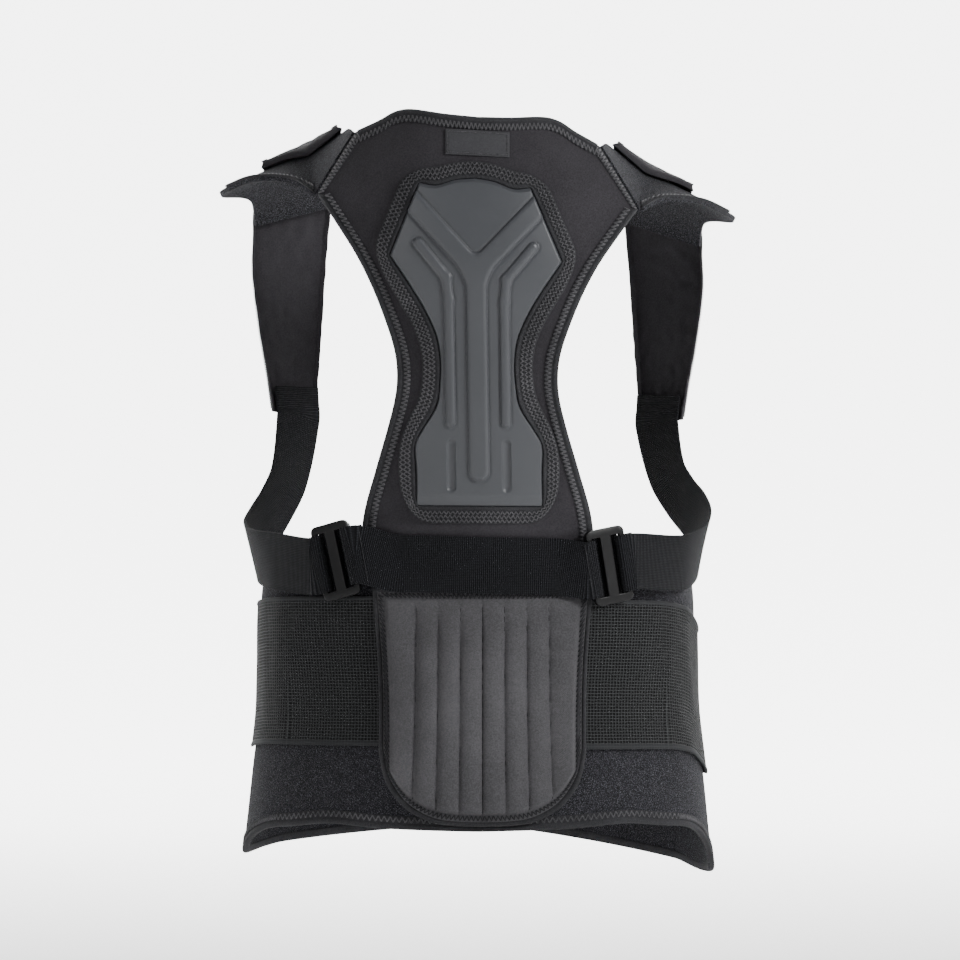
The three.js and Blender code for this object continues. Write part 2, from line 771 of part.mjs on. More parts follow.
// The same point moved off the layer, along the layer's normal, which beside the panel is the panel's own
function shoulderOff(side, place, along, off) {
  const step = 0.04;
  const point = shoulderPoint(side, place, along);
  const run = shoulderPoint(side, place, along + step).sub(shoulderPoint(side, place, Math.max(along - step, 0)));
  const across = shoulderPoint(side, place + step, along).sub(shoulderPoint(side, place - step, along));
  const normal = across.cross(run).normalize().multiplyScalar(side);
  if (along < panelBlendAlong && place < shoulderEdge[0].place + panelBlendPlace) {
    const angle = backAngle(point.x, point.z, 0);
    const flat = torsoPoint(angle, point.z, 1).sub(torsoPoint(angle, point.z, 0));
    normal.lerp(flat, 1 - along / panelBlendAlong).normalize();
  }
  return point.addScaledVector(normal, off);
}

// Ends of the wing and the strap along the layer
const wingFront = 3;
const strapRear = 0.75;
const strapFoot = 7;
const strapSeatStep = 0.4; // between the places where the side strap lies under it

function shoulderWing(side) {
  return slab(grid(12, 8, (v, u) => [0, foam].map((off) =>
    shoulderOff(side, 2 * u - 1, v * wingFront, off))));
}

function wingBinding(side) {
  return slab(grid(10, 1, (v, u) => [bindingOff, bindingOff + tape].map((off) =>
    shoulderOff(side, lerp(shoulderEdge[0].place + wingTapeStart, 1, v), wingTapeNear + u * wingTapeWidth, off))));
}

// Padded strap: its outer edge runs in from the arm to the full width of the layer in front
function shoulderStrap(side) {
  return slab(grid(25, 3, (v, u) => {
    const along = lerp(strapRear, strapFoot, v);
    const lateral = lerp(strapRearArmEdge, 1, smoothstep(along, 1, wingFront));
    const inner = foam + 2.5 * seat;
    return [inner, inner + strapFoam].map((off) => shoulderOff(side, lerp(strapNeckEdge, lateral, u), along, off));
  }));
}

// Frame of a slider on the back: origin, and unit vectors to +X along the back, up the bars and outwards
function sliderFrame({ side, across, height, lean }) {
  const angle = backAngle(side * across, height, sliderOff);
  const origin = torsoPoint(angle, height, sliderOff);
  const outward = torsoPoint(angle, height, sliderOff + 1).sub(origin);
  const up = new THREE.Vector3(0, 0, 1);
  const along = up.clone().cross(outward).negate();
  along.multiplyScalar(Math.sign(along.x));
  const tip = degToRad(lean);
  const leaningUp = up.clone().multiplyScalar(Math.cos(tip)).addScaledVector(along, -Math.sin(tip));
  const leaningAlong = along.clone().multiplyScalar(Math.cos(tip)).addScaledVector(up, Math.sin(tip));
  return { origin, along: leaningAlong, up: leaningUp, outward };
}

function roundedRectangle(path, x, y, width, height, radius) {
  path.moveTo(x + radius, y);
  path.lineTo(x + width - radius, y);
  path.absarc(x + width - radius, y + radius, radius, -Math.PI / 2, 0);
  path.lineTo(x + width, y + height - radius);
  path.absarc(x + width - radius, y + height - radius, radius, 0, Math.PI / 2);
  path.lineTo(x + radius, y + height);
  path.absarc(x + radius, y + height - radius, radius, Math.PI / 2, Math.PI);
  path.lineTo(x, y + radius);
  path.absarc(x + radius, y + radius, radius, Math.PI, 1.5 * Math.PI);
  return path;
}

const sliderSlot = (sliderWidth - 2 * outerBar - middleBar) / 2;

function sliderShape() {
  const outline = new THREE.Shape();
  const shape = roundedRectangle(outline, -sliderWidth / 2, -sliderHeight / 2, sliderWidth, sliderHeight, sliderCorner);
  for (const left of [-sliderWidth / 2 + outerBar, middleBar / 2]) {
    const slot = new THREE.Path();
    const slotHeight = sliderHeight - 2 * rail;
    shape.holes.push(roundedRectangle(slot, left, -slotHeight / 2, sliderSlot, slotHeight, slotCorner));
  }
  const geometry = new THREE.ExtrudeGeometry(shape, {
    depth: sliderThickness, bevelEnabled: false, curveSegments: 2,
  });
  return geometry.translate(0, 0, -sliderThickness / 2);
}

function addSlider(name) {
  const frame = sliderFrame(sliders[name]);
  const mesh = add(`slider_${name}`, sliderShape(), sliderPlastic);
  mesh.position.copy(frame.origin);
  mesh.quaternion.setFromRotationMatrix(new THREE.Matrix4().makeBasis(frame.along, frame.up, frame.outward));
}

// Share of a turn on a path with squarer corners than a circle's
const cornerPower = 0.6;
const squared = (share) => Math.sign(share) * Math.abs(share) ** cornerPower;

// Middle line of a web round one bar of a slider, from its sewn tail to where its main layer leaves the bar
function loopStations(frame, toward) {
  const bar = toward * (sliderWidth - outerBar) / 2;
  const lift = sliderThickness / 2 + loopSpare + webThickness / 2;
  const reach = outerBar / 2 + loopSpare + webThickness / 2;
  const station = (along, out) => ({
    centre: frame.origin.clone().addScaledVector(frame.along, along).addScaledVector(frame.outward, out),
    across: frame.up,
  });
  const stations = [station(bar + toward * tailLength, -lift)];
  const steps = 6;
  for (let k = 0; k <= steps; k += 1) {
    const turn = Math.PI * (k / steps - 0.5);
    stations.push(station(bar - toward * reach * squared(Math.cos(turn)), lift * squared(Math.sin(turn))));
  }
  stations.push(station(bar + toward * loopLead, lift));
  return stations;
}

// Flat web along stations, each with a middle point and a direction across
function web(stations) {
  return slab(stations.map((station, i) => {
    const before = stations[Math.max(i - 1, 0)].centre;
    const after = stations[Math.min(i + 1, stations.length - 1)].centre;
    const run = after.clone().sub(before).normalize();
    const across = station.across.clone().addScaledVector(run, -station.across.dot(run)).normalize();
    const normal = run.clone().cross(across).multiplyScalar(webThickness / 2);
    return [-0.5, 0.5].map((edge) => {
      const point = station.centre.clone().addScaledVector(across, edge * webWidth);
      return [point.clone().sub(normal), point.clone().add(normal)];
    });
  }));
}

// The back band lies against the panel along its top edge and over the pad along its lower edge
function backBand() {
  const left = sliderFrame(sliders.left);
  const right = sliderFrame(sliders.right);
  const middle = bandPlaces.map((x) => {
    const share = (x + sliders.left.across) / (sliders.left.across + sliders.right.across);
    const z = lerp(sliders.left.height, sliders.right.height, share) - bandDrop;
    const top = backPoint(x, z + webWidth / 2, foam + 2 * seat + webThickness / 2);
    const foot = backPoint(x, z - webWidth / 2, padSeat + padFoam * bandSink + webThickness / 2);
    return { centre: top.clone().lerp(foot, 0.5), across: top.sub(foot).normalize() };
  });
  return web([...loopStations(left, 1), ...middle, ...loopStations(right, -1).reverse()]);
}

// Side strap: from the slider's outer bar round the side and up under the foot of the shoulder strap
function sideStrap(name) {
  const { side } = sliders[name];
  const stations = loopStations(sliderFrame(sliders[name]), side);
  const centres = sideRoute.map((row) => torsoPoint(side * degToRad(row.turn), row[name] * webWidth, row.off));
  const normals = sideRoute.map((row) => {
    const angle = side * degToRad(row.turn);
    const outward = torsoPoint(angle, 0, 1).sub(torsoPoint(angle, 0, 0));
    const lean = degToRad(row.lean);
    return outward.multiplyScalar(Math.cos(lean)).setZ(-Math.sin(lean));
  });
  for (const along of [strapFoot, strapFoot - strapSeatStep, strapFoot - 2 * strapSeatStep]) {
    const seatOff = foam + 1.5 * seat - webThickness / 2;
    const centre = shoulderOff(side, 0, along, seatOff);
    centres.push(centre);
    normals.push(shoulderOff(side, 0, along, seatOff + 1).sub(centre));
  }
  centres.forEach((centre, i) => {
    const before = centres[Math.max(i - 1, 0)];
    const run = centres[Math.min(i + 1, centres.length - 1)].clone().sub(before);
    stations.push({ centre, across: normals[i].clone().cross(run).normalize().multiplyScalar(side) });
  });
  return web(stations);
}

add('back_panel', backPanel(), neoprene);
add('neck_binding', neckBinding(), bindingTape);
add('plate_frame', plateFrame(), bindingTape);
add('back_plate', backPlate(), moulded);
add('label_patch', labelPatch(), bindingTape);
add('lumbar_belt', lumbarBelt(), loopPile);
add('belt_binding_top', beltBinding(true), bindingTape);
add('belt_binding_bottom', beltBinding(false), bindingTape);
add('belt_closure', beltClosure(), loopPile);
add('lumbar_pad', lumbarPad(), padCloth);
add('pad_binding', padBinding(), bindingTape);
add('back_band', backBand(), elastic);
for (const name of ['left', 'right']) {
  const { side } = sliders[name];
  add(`armhole_binding_${name}`, armholeBinding(side), bindingTape);
  add(`wing_seam_tape_${name}`, wingSeamTape(side), bindingTape);
  add(`shoulder_wing_${name}`, shoulderWing(side), loopPile);
  add(`wing_binding_${name}`, wingBinding(side), bindingTape);
  add(`shoulder_strap_${name}`, shoulderStrap(side), neoprene);
  add(`side_strap_${name}`, sideStrap(name), elastic);
  add(`elastic_panel_${name}`, elasticPanel(side), openElastic);
  add(`elastic_tab_${name}`, elasticTab(side), loopPile);
  addSlider(name);
}

export default brace;
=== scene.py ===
import math

import bmesh
import bpy
import numpy as np
from mathutils import Matrix, Vector, noise


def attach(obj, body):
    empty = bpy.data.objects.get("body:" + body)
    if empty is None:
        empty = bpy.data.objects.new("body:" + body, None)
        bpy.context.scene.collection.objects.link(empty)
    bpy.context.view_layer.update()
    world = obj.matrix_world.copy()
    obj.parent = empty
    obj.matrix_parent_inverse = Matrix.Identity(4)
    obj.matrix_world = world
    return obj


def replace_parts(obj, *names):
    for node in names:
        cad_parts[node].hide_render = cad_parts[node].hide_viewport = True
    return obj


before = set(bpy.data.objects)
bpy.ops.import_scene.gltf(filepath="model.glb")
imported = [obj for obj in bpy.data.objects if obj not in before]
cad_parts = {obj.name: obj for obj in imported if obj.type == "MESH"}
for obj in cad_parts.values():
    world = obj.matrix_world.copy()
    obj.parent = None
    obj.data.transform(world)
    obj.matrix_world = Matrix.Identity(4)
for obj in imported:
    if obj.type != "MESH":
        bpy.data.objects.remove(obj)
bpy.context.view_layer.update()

# The brace is seen from behind, level with the shoulder blades, from three metres.
# A long lens keeps its sides nearly parallel.
camera = bpy.data.objects.new("camera", bpy.data.cameras.new("camera"))
camera.data.sensor_width = 36
camera.data.lens = 163
camera.data.clip_end = 30
camera.location = (0.0017, -3.0, 0.0566)
camera.rotation_euler = (math.pi / 2, 0, 0)
bpy.context.scene.collection.objects.link(camera)
bpy.context.scene.camera = camera

# Pale floor that curves up into a pale wall, as in a product studio. The brace is held up above it.
# Large soft lamps stand at both sides, the stronger one at the upper right.
floor_level = -0.34
sweep = bmesh.new()
bmesh.ops.create_grid(sweep, x_segments=2, y_segments=48, size=0.5)
for vert in sweep.verts:
    run = (vert.co.y + 0.5) * 12
    bend = min(max(run - 6, 0) / 3, 1) * math.pi / 2
    rise = max(run - 9, 0)
    vert.co = (vert.co.x * 16, min(run, 6) - 4 + 1.9 * math.sin(bend),
               floor_level + 1.9 * (1 - math.cos(bend)) + rise)
sweep_mesh = bpy.data.meshes.new("floor")
sweep.to_mesh(sweep_mesh)
sweep.free()
studio_floor = bpy.data.objects.new("floor", sweep_mesh)
bpy.context.scene.collection.objects.link(studio_floor)
for face in sweep_mesh.polygons:
    face.use_smooth = True
paper = bpy.data.materials.new("studio_paper")
paper.use_nodes = True
paper_tree = paper.node_tree
paper_skin = paper_tree.nodes["Principled BSDF"]
paper_skin.inputs["Base Color"].default_value = (0.9, 0.9, 0.9, 1)
paper_skin.inputs["Roughness"].default_value = 0.9
paper_skin.inputs["Specular IOR Level"].default_value = 0.1
paper_skin.inputs["Emission Color"].default_value = (1, 1, 1, 1)
depth = paper_tree.nodes.new("ShaderNodeTexCoord")
depth_axes = paper_tree.nodes.new("ShaderNodeSeparateXYZ")
glow = paper_tree.nodes.new("ShaderNodeMapRange")
glow.inputs["From Min"].default_value = 0.2
glow.inputs["From Max"].default_value = 2.4
glow.inputs["To Max"].default_value = 4.5
paper_tree.links.new(depth.outputs["Object"], depth_axes.inputs[0])
paper_tree.links.new(depth_axes.outputs[1], glow.inputs["Value"])
paper_tree.links.new(glow.outputs[0], paper_skin.inputs["Emission Strength"])
sweep_mesh.materials.append(paper)


def softbox(name, place, size, power):
    lamp = bpy.data.objects.new(name, bpy.data.lights.new(name, "AREA"))
    lamp.data.shape = "RECTANGLE"
    lamp.data.size, lamp.data.size_y = size
    lamp.data.energy = power
    lamp.location = place
    aim = Vector((0, 0, 0.05)) - Vector(place)
    lamp.rotation_euler = aim.to_track_quat("-Z", "Y").to_euler()
    bpy.context.scene.collection.objects.link(lamp)


softbox("key_light", (2.1, -1.4, 1.2), (0.6, 0.8), 70)
softbox("fill_light", (-1.6, -2.0, 0.9), (0.9, 1.4), 12)
softbox("rim_light", (-0.6, 1.0, 1.9), (1.4, 0.7), 7)
world = bpy.data.worlds.new("studio")
world.use_nodes = True
world.node_tree.nodes["Background"].inputs["Color"].default_value = (1, 1, 1, 1)
world.node_tree.nodes["Background"].inputs["Strength"].default_value = 0.24
bpy.context.scene.world = world

# Lumbar belt: one long cut of neoprene, brushed to loop pile on its face, closed round the waist.
# All the pieces lie on the same torso, so its sections are given here, as shares of the waist's sizes.
waist_half_width = 0.143
waist_half_depth = 0.098
waist_side_radius = 0.071
brace_height = 0.520
shoulder_tilt = 0.2  # fall to the right, per metre across and per metre of height
foam = 0.003
tape = 0.001
seat = 0.0004
torso_sections = [  # height, half width, half depth, side radius
    (-0.433, 1.126, 1.184, 1.1),
    (-0.365, 1.098, 1.143, 1.1),
    (-0.269, 1.063, 1.102, 1.07),
    (-0.192, 1.031, 1.061, 1.04),
    (-0.05, 1.021, 1.01, 1.014),
    (0.006, 1, 1, 1),
    (0.096, 1.007, 1.041, 1.014),
    (0.192, 1.049, 1.102, 1.042),
    (0.288, 1.091, 1.163, 1.07),
    (0.385, 1.119, 1.224, 1.1),
    (0.4615, 1.105, 1.204, 1.085),
    (0.519, 0.993, 1.143, 0.986),
    (0.5615, 0.867, 1.041, 0.845),
    (0.6, 0.741, 0.918, 0.704),
]


def read(table, place, column):
    """Value in a column, on a smooth curve through the table's rows."""
    last = len(table) - 1
    at = min(max(place, table[0][0]), table[last][0])
    row = 0
    while row < last - 1 and at > table[row + 1][0]:
        row += 1

    def slope(k):
        before, after = table[max(k - 1, 0)], table[min(k + 1, last)]
        return (after[column] - before[column]) / (after[0] - before[0])

    span = table[row + 1][0] - table[row][0]
    t = (at - table[row][0]) / span
    ends = table[row][column] * (1 + 2 * t) * (1 - t) ** 2 + table[row + 1][column] * t * t * (3 - 2 * t)
    return ends + span * (slope(row) * t * (1 - t) ** 2 - slope(row + 1) * t * t * (1 - t))


section_cache = {}


def section_at(z):
    """The torso's section at a height: four arcs, back, front and two sides."""
    key = round(z, 5)
    if key not in section_cache:
        height = key / brace_height
        half_width = waist_half_width * read(torso_sections, height, 1)
        half_depth = waist_half_depth * read(torso_sections, height, 2)
        radius = waist_side_radius * read(torso_sections, height, 3)
        flat = half_width - radius
        broad = (flat ** 2 + half_depth ** 2 - radius ** 2) / (2 * (half_depth - radius))
        section_cache[key] = (flat, radius, broad, broad - half_depth, math.atan2(flat, broad - half_depth))
    return section_cache[key]


def torso_point(angle, z, off):
    """Point at an angle from the middle of the back and a distance off the torso."""
    flat, radius, broad, centre, bend = section_at(z)
    turn = angle - 2 * math.pi if angle > math.pi else angle
    side, a = (-1 if turn < 0 else 1), abs(turn)
    if bend < a < math.pi - bend:
        return Vector((side * (flat + (radius + off) * math.sin(a)), -(radius + off) * math.cos(a), z))
    middle = centre if a <= bend else -centre
    return Vector((side * (broad + off) * math.sin(a), middle - (broad + off) * math.cos(a), z))


def outward_at(angle, z):
    """Unit vector straight away from the torso."""
    return (torso_point(angle, z, 0.001) - torso_point(angle, z, 0)).normalized()


def back_angle(x, z, off):
    """Angle of the point of the back that lies at x."""
    flat, radius, broad, centre, bend = section_at(z)
    across = abs(x)
    if across < (broad + off) * math.sin(bend):
        angle = math.asin(across / (broad + off))
    else:
        angle = math.asin(min(max((across - flat) / (radius + off), 0), 1))
    return math.copysign(angle, x)


def back_point(x, z, off):
    return torso_point(back_angle(x, z, off), z, off)


def worn(point):
    """The brace hangs lower on its right, the more so the higher up."""
    return Vector((point.x, point.y, point.z - point.x * max(point.z, 0) * shoulder_tilt))


def mix(a, b, share):
    return a + (b - a) * share


def step(value, low, high):
    t = min(max((value - low) / (high - low), 0), 1)
    return t * t * (3 - 2 * t)


def run_lengths(points):
    """Length of the line of points up to each of them."""
    lengths = [0.0]
    for a, b in zip(points[:-1], points[1:]):
        lengths.append(lengths[-1] + (b - a).length)
    return lengths


def thickened(piece, wall, offset=-1):
    thick = piece.modifiers.new("wall", "SOLIDIFY")
    thick.thickness = wall
    thick.offset = offset


def rounded(piece, width, segments, corner):
    """Round the piece's edges that are sharper than a corner in degrees."""
    soft = piece.modifiers.new("soft_edge", "BEVEL")
    soft.width = width
    soft.segments = segments
    soft.limit_method = "ANGLE"
    soft.angle_limit = math.radians(corner)


def laid(name, rows, columns, place, wall=0.0, ring=False):
    """Cloth cut as a grid and laid where place(u, v) says, with a wall grown inwards."""
    cut = bmesh.new()
    bmesh.ops.create_grid(cut, x_segments=columns, y_segments=rows, size=0.5)
    weave = cut.loops.layers.uv.new("UVMap")
    across = run_lengths([place(i / columns, 0.5) for i in range(columns + 1)])
    along = run_lengths([place(0.5, j / rows) for j in range(rows + 1)])
    for face in cut.faces:
        for loop in face.loops:
            co = loop.vert.co
            loop[weave].uv = (across[round((co.x + 0.5) * columns)], along[round((co.y + 0.5) * rows)])
    for vert in cut.verts:
        vert.co = worn(place(vert.co.x + 0.5, vert.co.y + 0.5))
    if ring:
        bmesh.ops.remove_doubles(cut, verts=cut.verts[:], dist=0.00002)
    cut.normal_update()
    facing = sum(
        (f.normal.x * f.calc_center_median().x + f.normal.y * f.calc_center_median().y) * f.calc_area()
        for f in cut.faces
    )
    if facing < 0:
        bmesh.ops.reverse_faces(cut, faces=cut.faces[:])
    mesh = bpy.data.meshes.new(name)
    cut.to_mesh(mesh)
    cut.free()
    for face in mesh.polygons:
        face.use_smooth = True
    piece = bpy.data.objects.new(name, mesh)
    bpy.context.scene.collection.objects.link(piece)
    if wall:
        thickened(piece, wall)
        rounded(piece, min(0.0006, wall * 0.3), 2, 50)
    return piece


def node_group(name, inputs, outputs):
    group = bpy.data.node_groups.new(name, "ShaderNodeTree")
    for socket, value in inputs.items():
        made = group.interface.new_socket(socket, in_out="INPUT", socket_type="NodeSocketFloat")
        made.default_value = value
    for socket, kind in outputs.items():
        group.interface.new_socket(socket, in_out="OUTPUT", socket_type=kind)
    return group, group.nodes.new("NodeGroupInput"), group.nodes.new("NodeGroupOutput")


def link(tree, start, end):
    tree.links.new(start, end)


def maths(tree, kind, a, b=None):
    """A Math node; a and b are sockets or numbers."""
    node = tree.nodes.new("ShaderNodeMath")
    node.operation = kind
    for k, value in enumerate((a, b)):
        if value is None:
            continue
        if isinstance(value, (int, float)):
            node.inputs[k].default_value = value
        else:
            tree.links.new(value, node.inputs[k])
    return node.outputs[0]


def ramp(tree, value, start, end, foot=0.0, top=1.0):
    """Map Range node: from foot to top while the value goes from start to end."""
    node = tree.nodes.new("ShaderNodeMapRange")
    node.inputs["From Min"].default_value = start
    node.inputs["From Max"].default_value = end
    node.inputs["To Min"].default_value = foot
    node.inputs["To Max"].default_value = top
    link(tree, value, node.inputs["Value"])
    return node.outputs[0]


# Loop pile: tiny loops that catch the light as pale flecks.
pile_group, pile_in, pile_out = node_group(
    "loop_pile", {"Loops per metre": 900.0}, {"Height": "NodeSocketFloat", "Fleck": "NodeSocketFloat"})
spot = pile_group.nodes.new("ShaderNodeTexCoord")
loops = pile_group.nodes.new("ShaderNodeTexVoronoi")
loops.feature = "F1"
link(pile_group, spot.outputs["Object"], loops.inputs["Vector"])
link(pile_group, pile_in.outputs[0], loops.inputs["Scale"])
curls = pile_group.nodes.new("ShaderNodeTexNoise")
curls.inputs["Detail"].default_value = 4
link(pile_group, spot.outputs["Object"], curls.inputs["Vector"])
link(pile_group, maths(pile_group, "MULTIPLY", pile_in.outputs[0], 1.7), curls.inputs["Scale"])
link(pile_group, ramp(pile_group, curls.outputs["Fac"], 0.52, 0.68), pile_out.inputs["Fleck"])
link(pile_group, maths(pile_group, "SUBTRACT", curls.outputs["Fac"], loops.outputs["Distance"]),
     pile_out.inputs["Height"])

# Slow unevenness that all the cloths share: faint patches of tone and soft dents.
patch_group, patch_in, patch_out = node_group(
    "cloth_patches", {"Scale": 14.0}, {"Tone": "NodeSocketFloat"})
spot = patch_group.nodes.new("ShaderNodeTexCoord")
clouds = patch_group.nodes.new("ShaderNodeTexNoise")
clouds.inputs["Detail"].default_value = 5
clouds.inputs["Roughness"].default_value = 0.6
link(patch_group, spot.outputs["Object"], clouds.inputs["Vector"])
link(patch_group, patch_in.outputs[0], clouds.inputs["Scale"])
link(patch_group, clouds.outputs["Fac"], patch_out.inputs["Tone"])


def blend(tree, factor, dark, pale):
    """Colour from dark to pale."""
    node = tree.nodes.new("ShaderNodeMix")
    node.data_type = "RGBA"
    node.inputs["A"].default_value = (*dark, 1)
    node.inputs["B"].default_value = (*pale, 1)
    link(tree, factor, node.inputs["Factor"])
    return node.outputs["Result"]


def placed(tree, group, **values):
    node = tree.nodes.new("ShaderNodeGroup")
    node.node_tree = group
    for name, value in values.items():
        node.inputs[name.replace("_", " ")].default_value = value
    return node


def cloth(name, dark, pale, roughness, sheen=0.0):
    """A cloth material, its node tree, its surface node and its tone in patches from dark to pale."""
    material = bpy.data.materials.new(name)
    material.use_nodes = True
    tree = material.node_tree
    surface = tree.nodes["Principled BSDF"]
    surface.inputs["Roughness"].default_value = roughness
    surface.inputs["Specular IOR Level"].default_value = 0.12
    surface.inputs["Sheen Weight"].default_value = sheen
    surface.inputs["Sheen Roughness"].default_value = 0.6
    patches = placed(tree, patch_group)
    fibres = placed(tree, patch_group, Scale=950.0)
    mottle = maths(tree, "ADD", maths(tree, "MULTIPLY", patches.outputs[0], 0.45),
                   maths(tree, "MULTIPLY", fibres.outputs[0], 0.55))
    return material, tree, surface, blend(tree, ramp(tree, mottle, 0.38, 0.62), dark, pale)


def speckled(tree, colour, mask, shade):
    """Colour with another shade where the mask is 1."""
    over = tree.nodes.new("ShaderNodeMix")
    over.data_type = "RGBA"
    link(tree, mask, over.inputs["Factor"])
    link(tree, colour, over.inputs["A"])
    over.inputs["B"].default_value = (*shade, 1)
    return over.outputs["Result"]


def bumped(tree, surface, height, distance, strength=1.0):
    bump = tree.nodes.new("ShaderNodeBump")
    bump.inputs["Distance"].default_value = distance
    bump.inputs["Strength"].default_value = strength
    link(tree, height, bump.inputs["Height"])
    link(tree, bump.outputs[0], surface.inputs["Normal"])


pile_cloth, tree, surface, tone = cloth(
    "loop_pile_cloth", (0.005, 0.005, 0.006), (0.014, 0.014, 0.017), 0.95, 0.04)
pile = placed(tree, pile_group, Loops_per_metre=1100.0)
link(tree, speckled(tree, tone, pile.outputs["Fleck"], (0.12, 0.12, 0.14)), surface.inputs["Base Color"])
bumped(tree, surface, pile.outputs["Height"], 0.0006)

belt_top = 0.003
belt_drop = 0.173
belt_end = math.pi  # both ends of the cut meet at the middle of the front
belt_length = 0.82
belt_foot = [  # degrees from the middle of the back, fall on the left and on the right
    (0, 0.02, 0.02),
    (20, 0.012, 0.012),
    (32, 0, 0),
    (42, 0.02, 0.017),
    (55, 0.04, 0.034),
    (64, 0.062, 0.06),
    (73, 0.09, 0.105),
    (82, 0.125, 0.16),
    (95, 0.16, 0.23),
    (120, 0.15, 0.23),
    (180, 0.09, 0.09),
]


def belt_foot_at(angle):
    return -belt_drop * (1 + read(belt_foot, abs(math.degrees(angle)), 1 if angle < 0 else 2))


def on_belt(u, v):
    angle = mix(-belt_end, belt_end, v)
    z = mix(belt_top, belt_foot_at(angle), u)
    dents = noise.noise(Vector((angle * 3, z * 18, 2))) * 0.0007
    return torso_point(angle, z, foam + dents)


belt = laid("lumbar_belt_cloth", 260, 40, on_belt, wall=foam)
belt.data.materials.append(pile_cloth)
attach(belt, "root")
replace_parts(belt, "lumbar_belt")

# Bindings: bias tape rolled over each raw edge and held by a wide zigzag seam of dark grey thread.
# A binding's profile starts on the face, rolls over the edge and ends on the inner face.
binding_width = 0.007
seam_near = 0.0041  # insets of the zigzag seam's two rows of holes
seam_far = 0.0078
seam_off = foam + 0.0011
binding_profile = [  # inset in widths of the binding, rise in thicknesses of tape
    (1.22, 0.1),
    (1.18, 0.7),
    (0.9, 0.9),
    (0.6, 0.9),
    (0.54, 0.6),
    (0.46, 0.6),
    (0.38, 1.3),
    (0.2, 1.7),
    (0.02, 1.35),
    (-0.12, 0.4),
    (-0.1, -1.6),
    (0.02, -3.1),
    (0.3, -3.5),
    (0.8, -3.4),
]

weave_group, weave_in, weave_out = node_group(
    "plain_weave", {"Across per metre": 1400.0, "Along per metre": 1400.0},
    {"Height": "NodeSocketFloat"})
threads = weave_group.nodes.new("ShaderNodeUVMap")
threads.uv_map = "UVMap"
parts = weave_group.nodes.new("ShaderNodeSeparateXYZ")
link(weave_group, threads.outputs[0], parts.inputs[0])
waves = []
for axis in (0, 1):
    phase = maths(weave_group, "MULTIPLY", parts.outputs[axis], weave_in.outputs[axis])
    waves.append(maths(weave_group, "SINE", maths(weave_group, "MULTIPLY", phase, math.pi)))
link(weave_group, maths(weave_group, "MULTIPLY", *waves), weave_out.inputs["Height"])

binding_cloth, tree, surface, tone = cloth(
    "binding_tape", (0.02, 0.02, 0.022), (0.044, 0.044, 0.048), 0.85, 0.03)
link(tree, tone, surface.inputs["Base Color"])
weave = placed(tree, weave_group)
bumped(tree, surface, weave.outputs["Height"], 0.00015)

thread_cloth, tree, surface, tone = cloth(
    "sewing_thread", (0.035, 0.035, 0.038), (0.115, 0.113, 0.12), 0.55, 0.05)
link(tree, tone, surface.inputs["Base Color"])


def taped(piece):
    """Thin binding tape, evened out so that it rolls over the edge."""
    thickened(piece, 0.0005)
    smooth = piece.modifiers.new("smooth", "SUBSURF")
    smooth.levels = smooth.render_levels = 1
    piece.data.materials.append(binding_cloth)
    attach(piece, "root")


def rolled(name, count, edge_point):
    """Binding along an edge; edge_point(share, inset, off) gives points inside the edge by an inset."""
    last = len(binding_profile) - 1

    def place(u, v):
        inset, off = binding_profile[round(u * last)]
        return edge_point(v, inset * binding_width, foam + off * tape)

    piece = laid(name, count, last, place)
    taped(piece)
    return piece


shortest_stitch, longest_stitch = 0.0002, 0.012


def stitched(name, points, radius=0.00045, thread=thread_cloth):
    """Thread through a row of points: one short round stitch between each two."""
    stitch = bmesh.new()
    bmesh.ops.create_cone(stitch, cap_ends=True, segments=6, radius1=1, radius2=1, depth=1)
    template = bpy.data.meshes.new("stitch")
    stitch.to_mesh(template)
    stitch.free()
    shape = np.array([v.co[:] for v in template.vertices])
    sides = [tuple(p.vertices) for p in template.polygons]
    bpy.data.meshes.remove(template)
    all_points, all_sides = [], []
    for start, end in zip(points[:-1], points[1:]):
        run = end - start
        if not shortest_stitch < run.length < longest_stitch:
            continue
        turn = np.array(run.to_track_quat("Z", "Y").to_matrix())
        scaled = shape * (radius, radius, run.length * 0.98)
        base = len(all_points) * len(shape)
        all_points.append(scaled @ turn.T + np.array((start + end) / 2))
        all_sides.extend(tuple(base + k for k in side) for side in sides)
    mesh = bpy.data.meshes.new(name)
    mesh.from_pydata(np.concatenate(all_points).tolist(), [], all_sides)
    for face in mesh.polygons:
        face.use_smooth = True
    piece = bpy.data.objects.new(name, mesh)
    bpy.context.scene.collection.objects.link(piece)
    mesh.materials.append(thread)
    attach(piece, "root")
    return piece


def zigzag(edge_point, length, near, far, off, pitch=0.0029):
    """Points of a zigzag seam between two insets from an edge."""
    count = int(length / pitch) * 2
    return [worn(edge_point(k / count, near if k % 2 else far, off)) for k in range(count + 1)]


def running(edge_point, length, inset, off, pitch=0.0032):
    """Points of a straight seam; the thread dips under between stitches."""
    count = int(length / pitch) * 2
    sunk = off - 0.0004
    return [worn(edge_point(k / count, inset, off if k % 4 in (1, 2) else sunk)) for k in range(count + 1)]


def belt_top_edge(share, inset, off):
    return torso_point(mix(-belt_end, belt_end, share), belt_top - inset, off)


def belt_foot_edge(share, inset, off):
    angle = mix(-belt_end, belt_end, share)
    return torso_point(angle, belt_foot_at(angle) + inset, off)


for name, edge in (("top", belt_top_edge), ("bottom", belt_foot_edge)):
    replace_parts(rolled(f"belt_rolled_{name}", 170, edge), f"belt_binding_{name}")
    stitched(f"belt_zigzag_{name}", zigzag(edge, belt_length, seam_near, seam_far, seam_off))

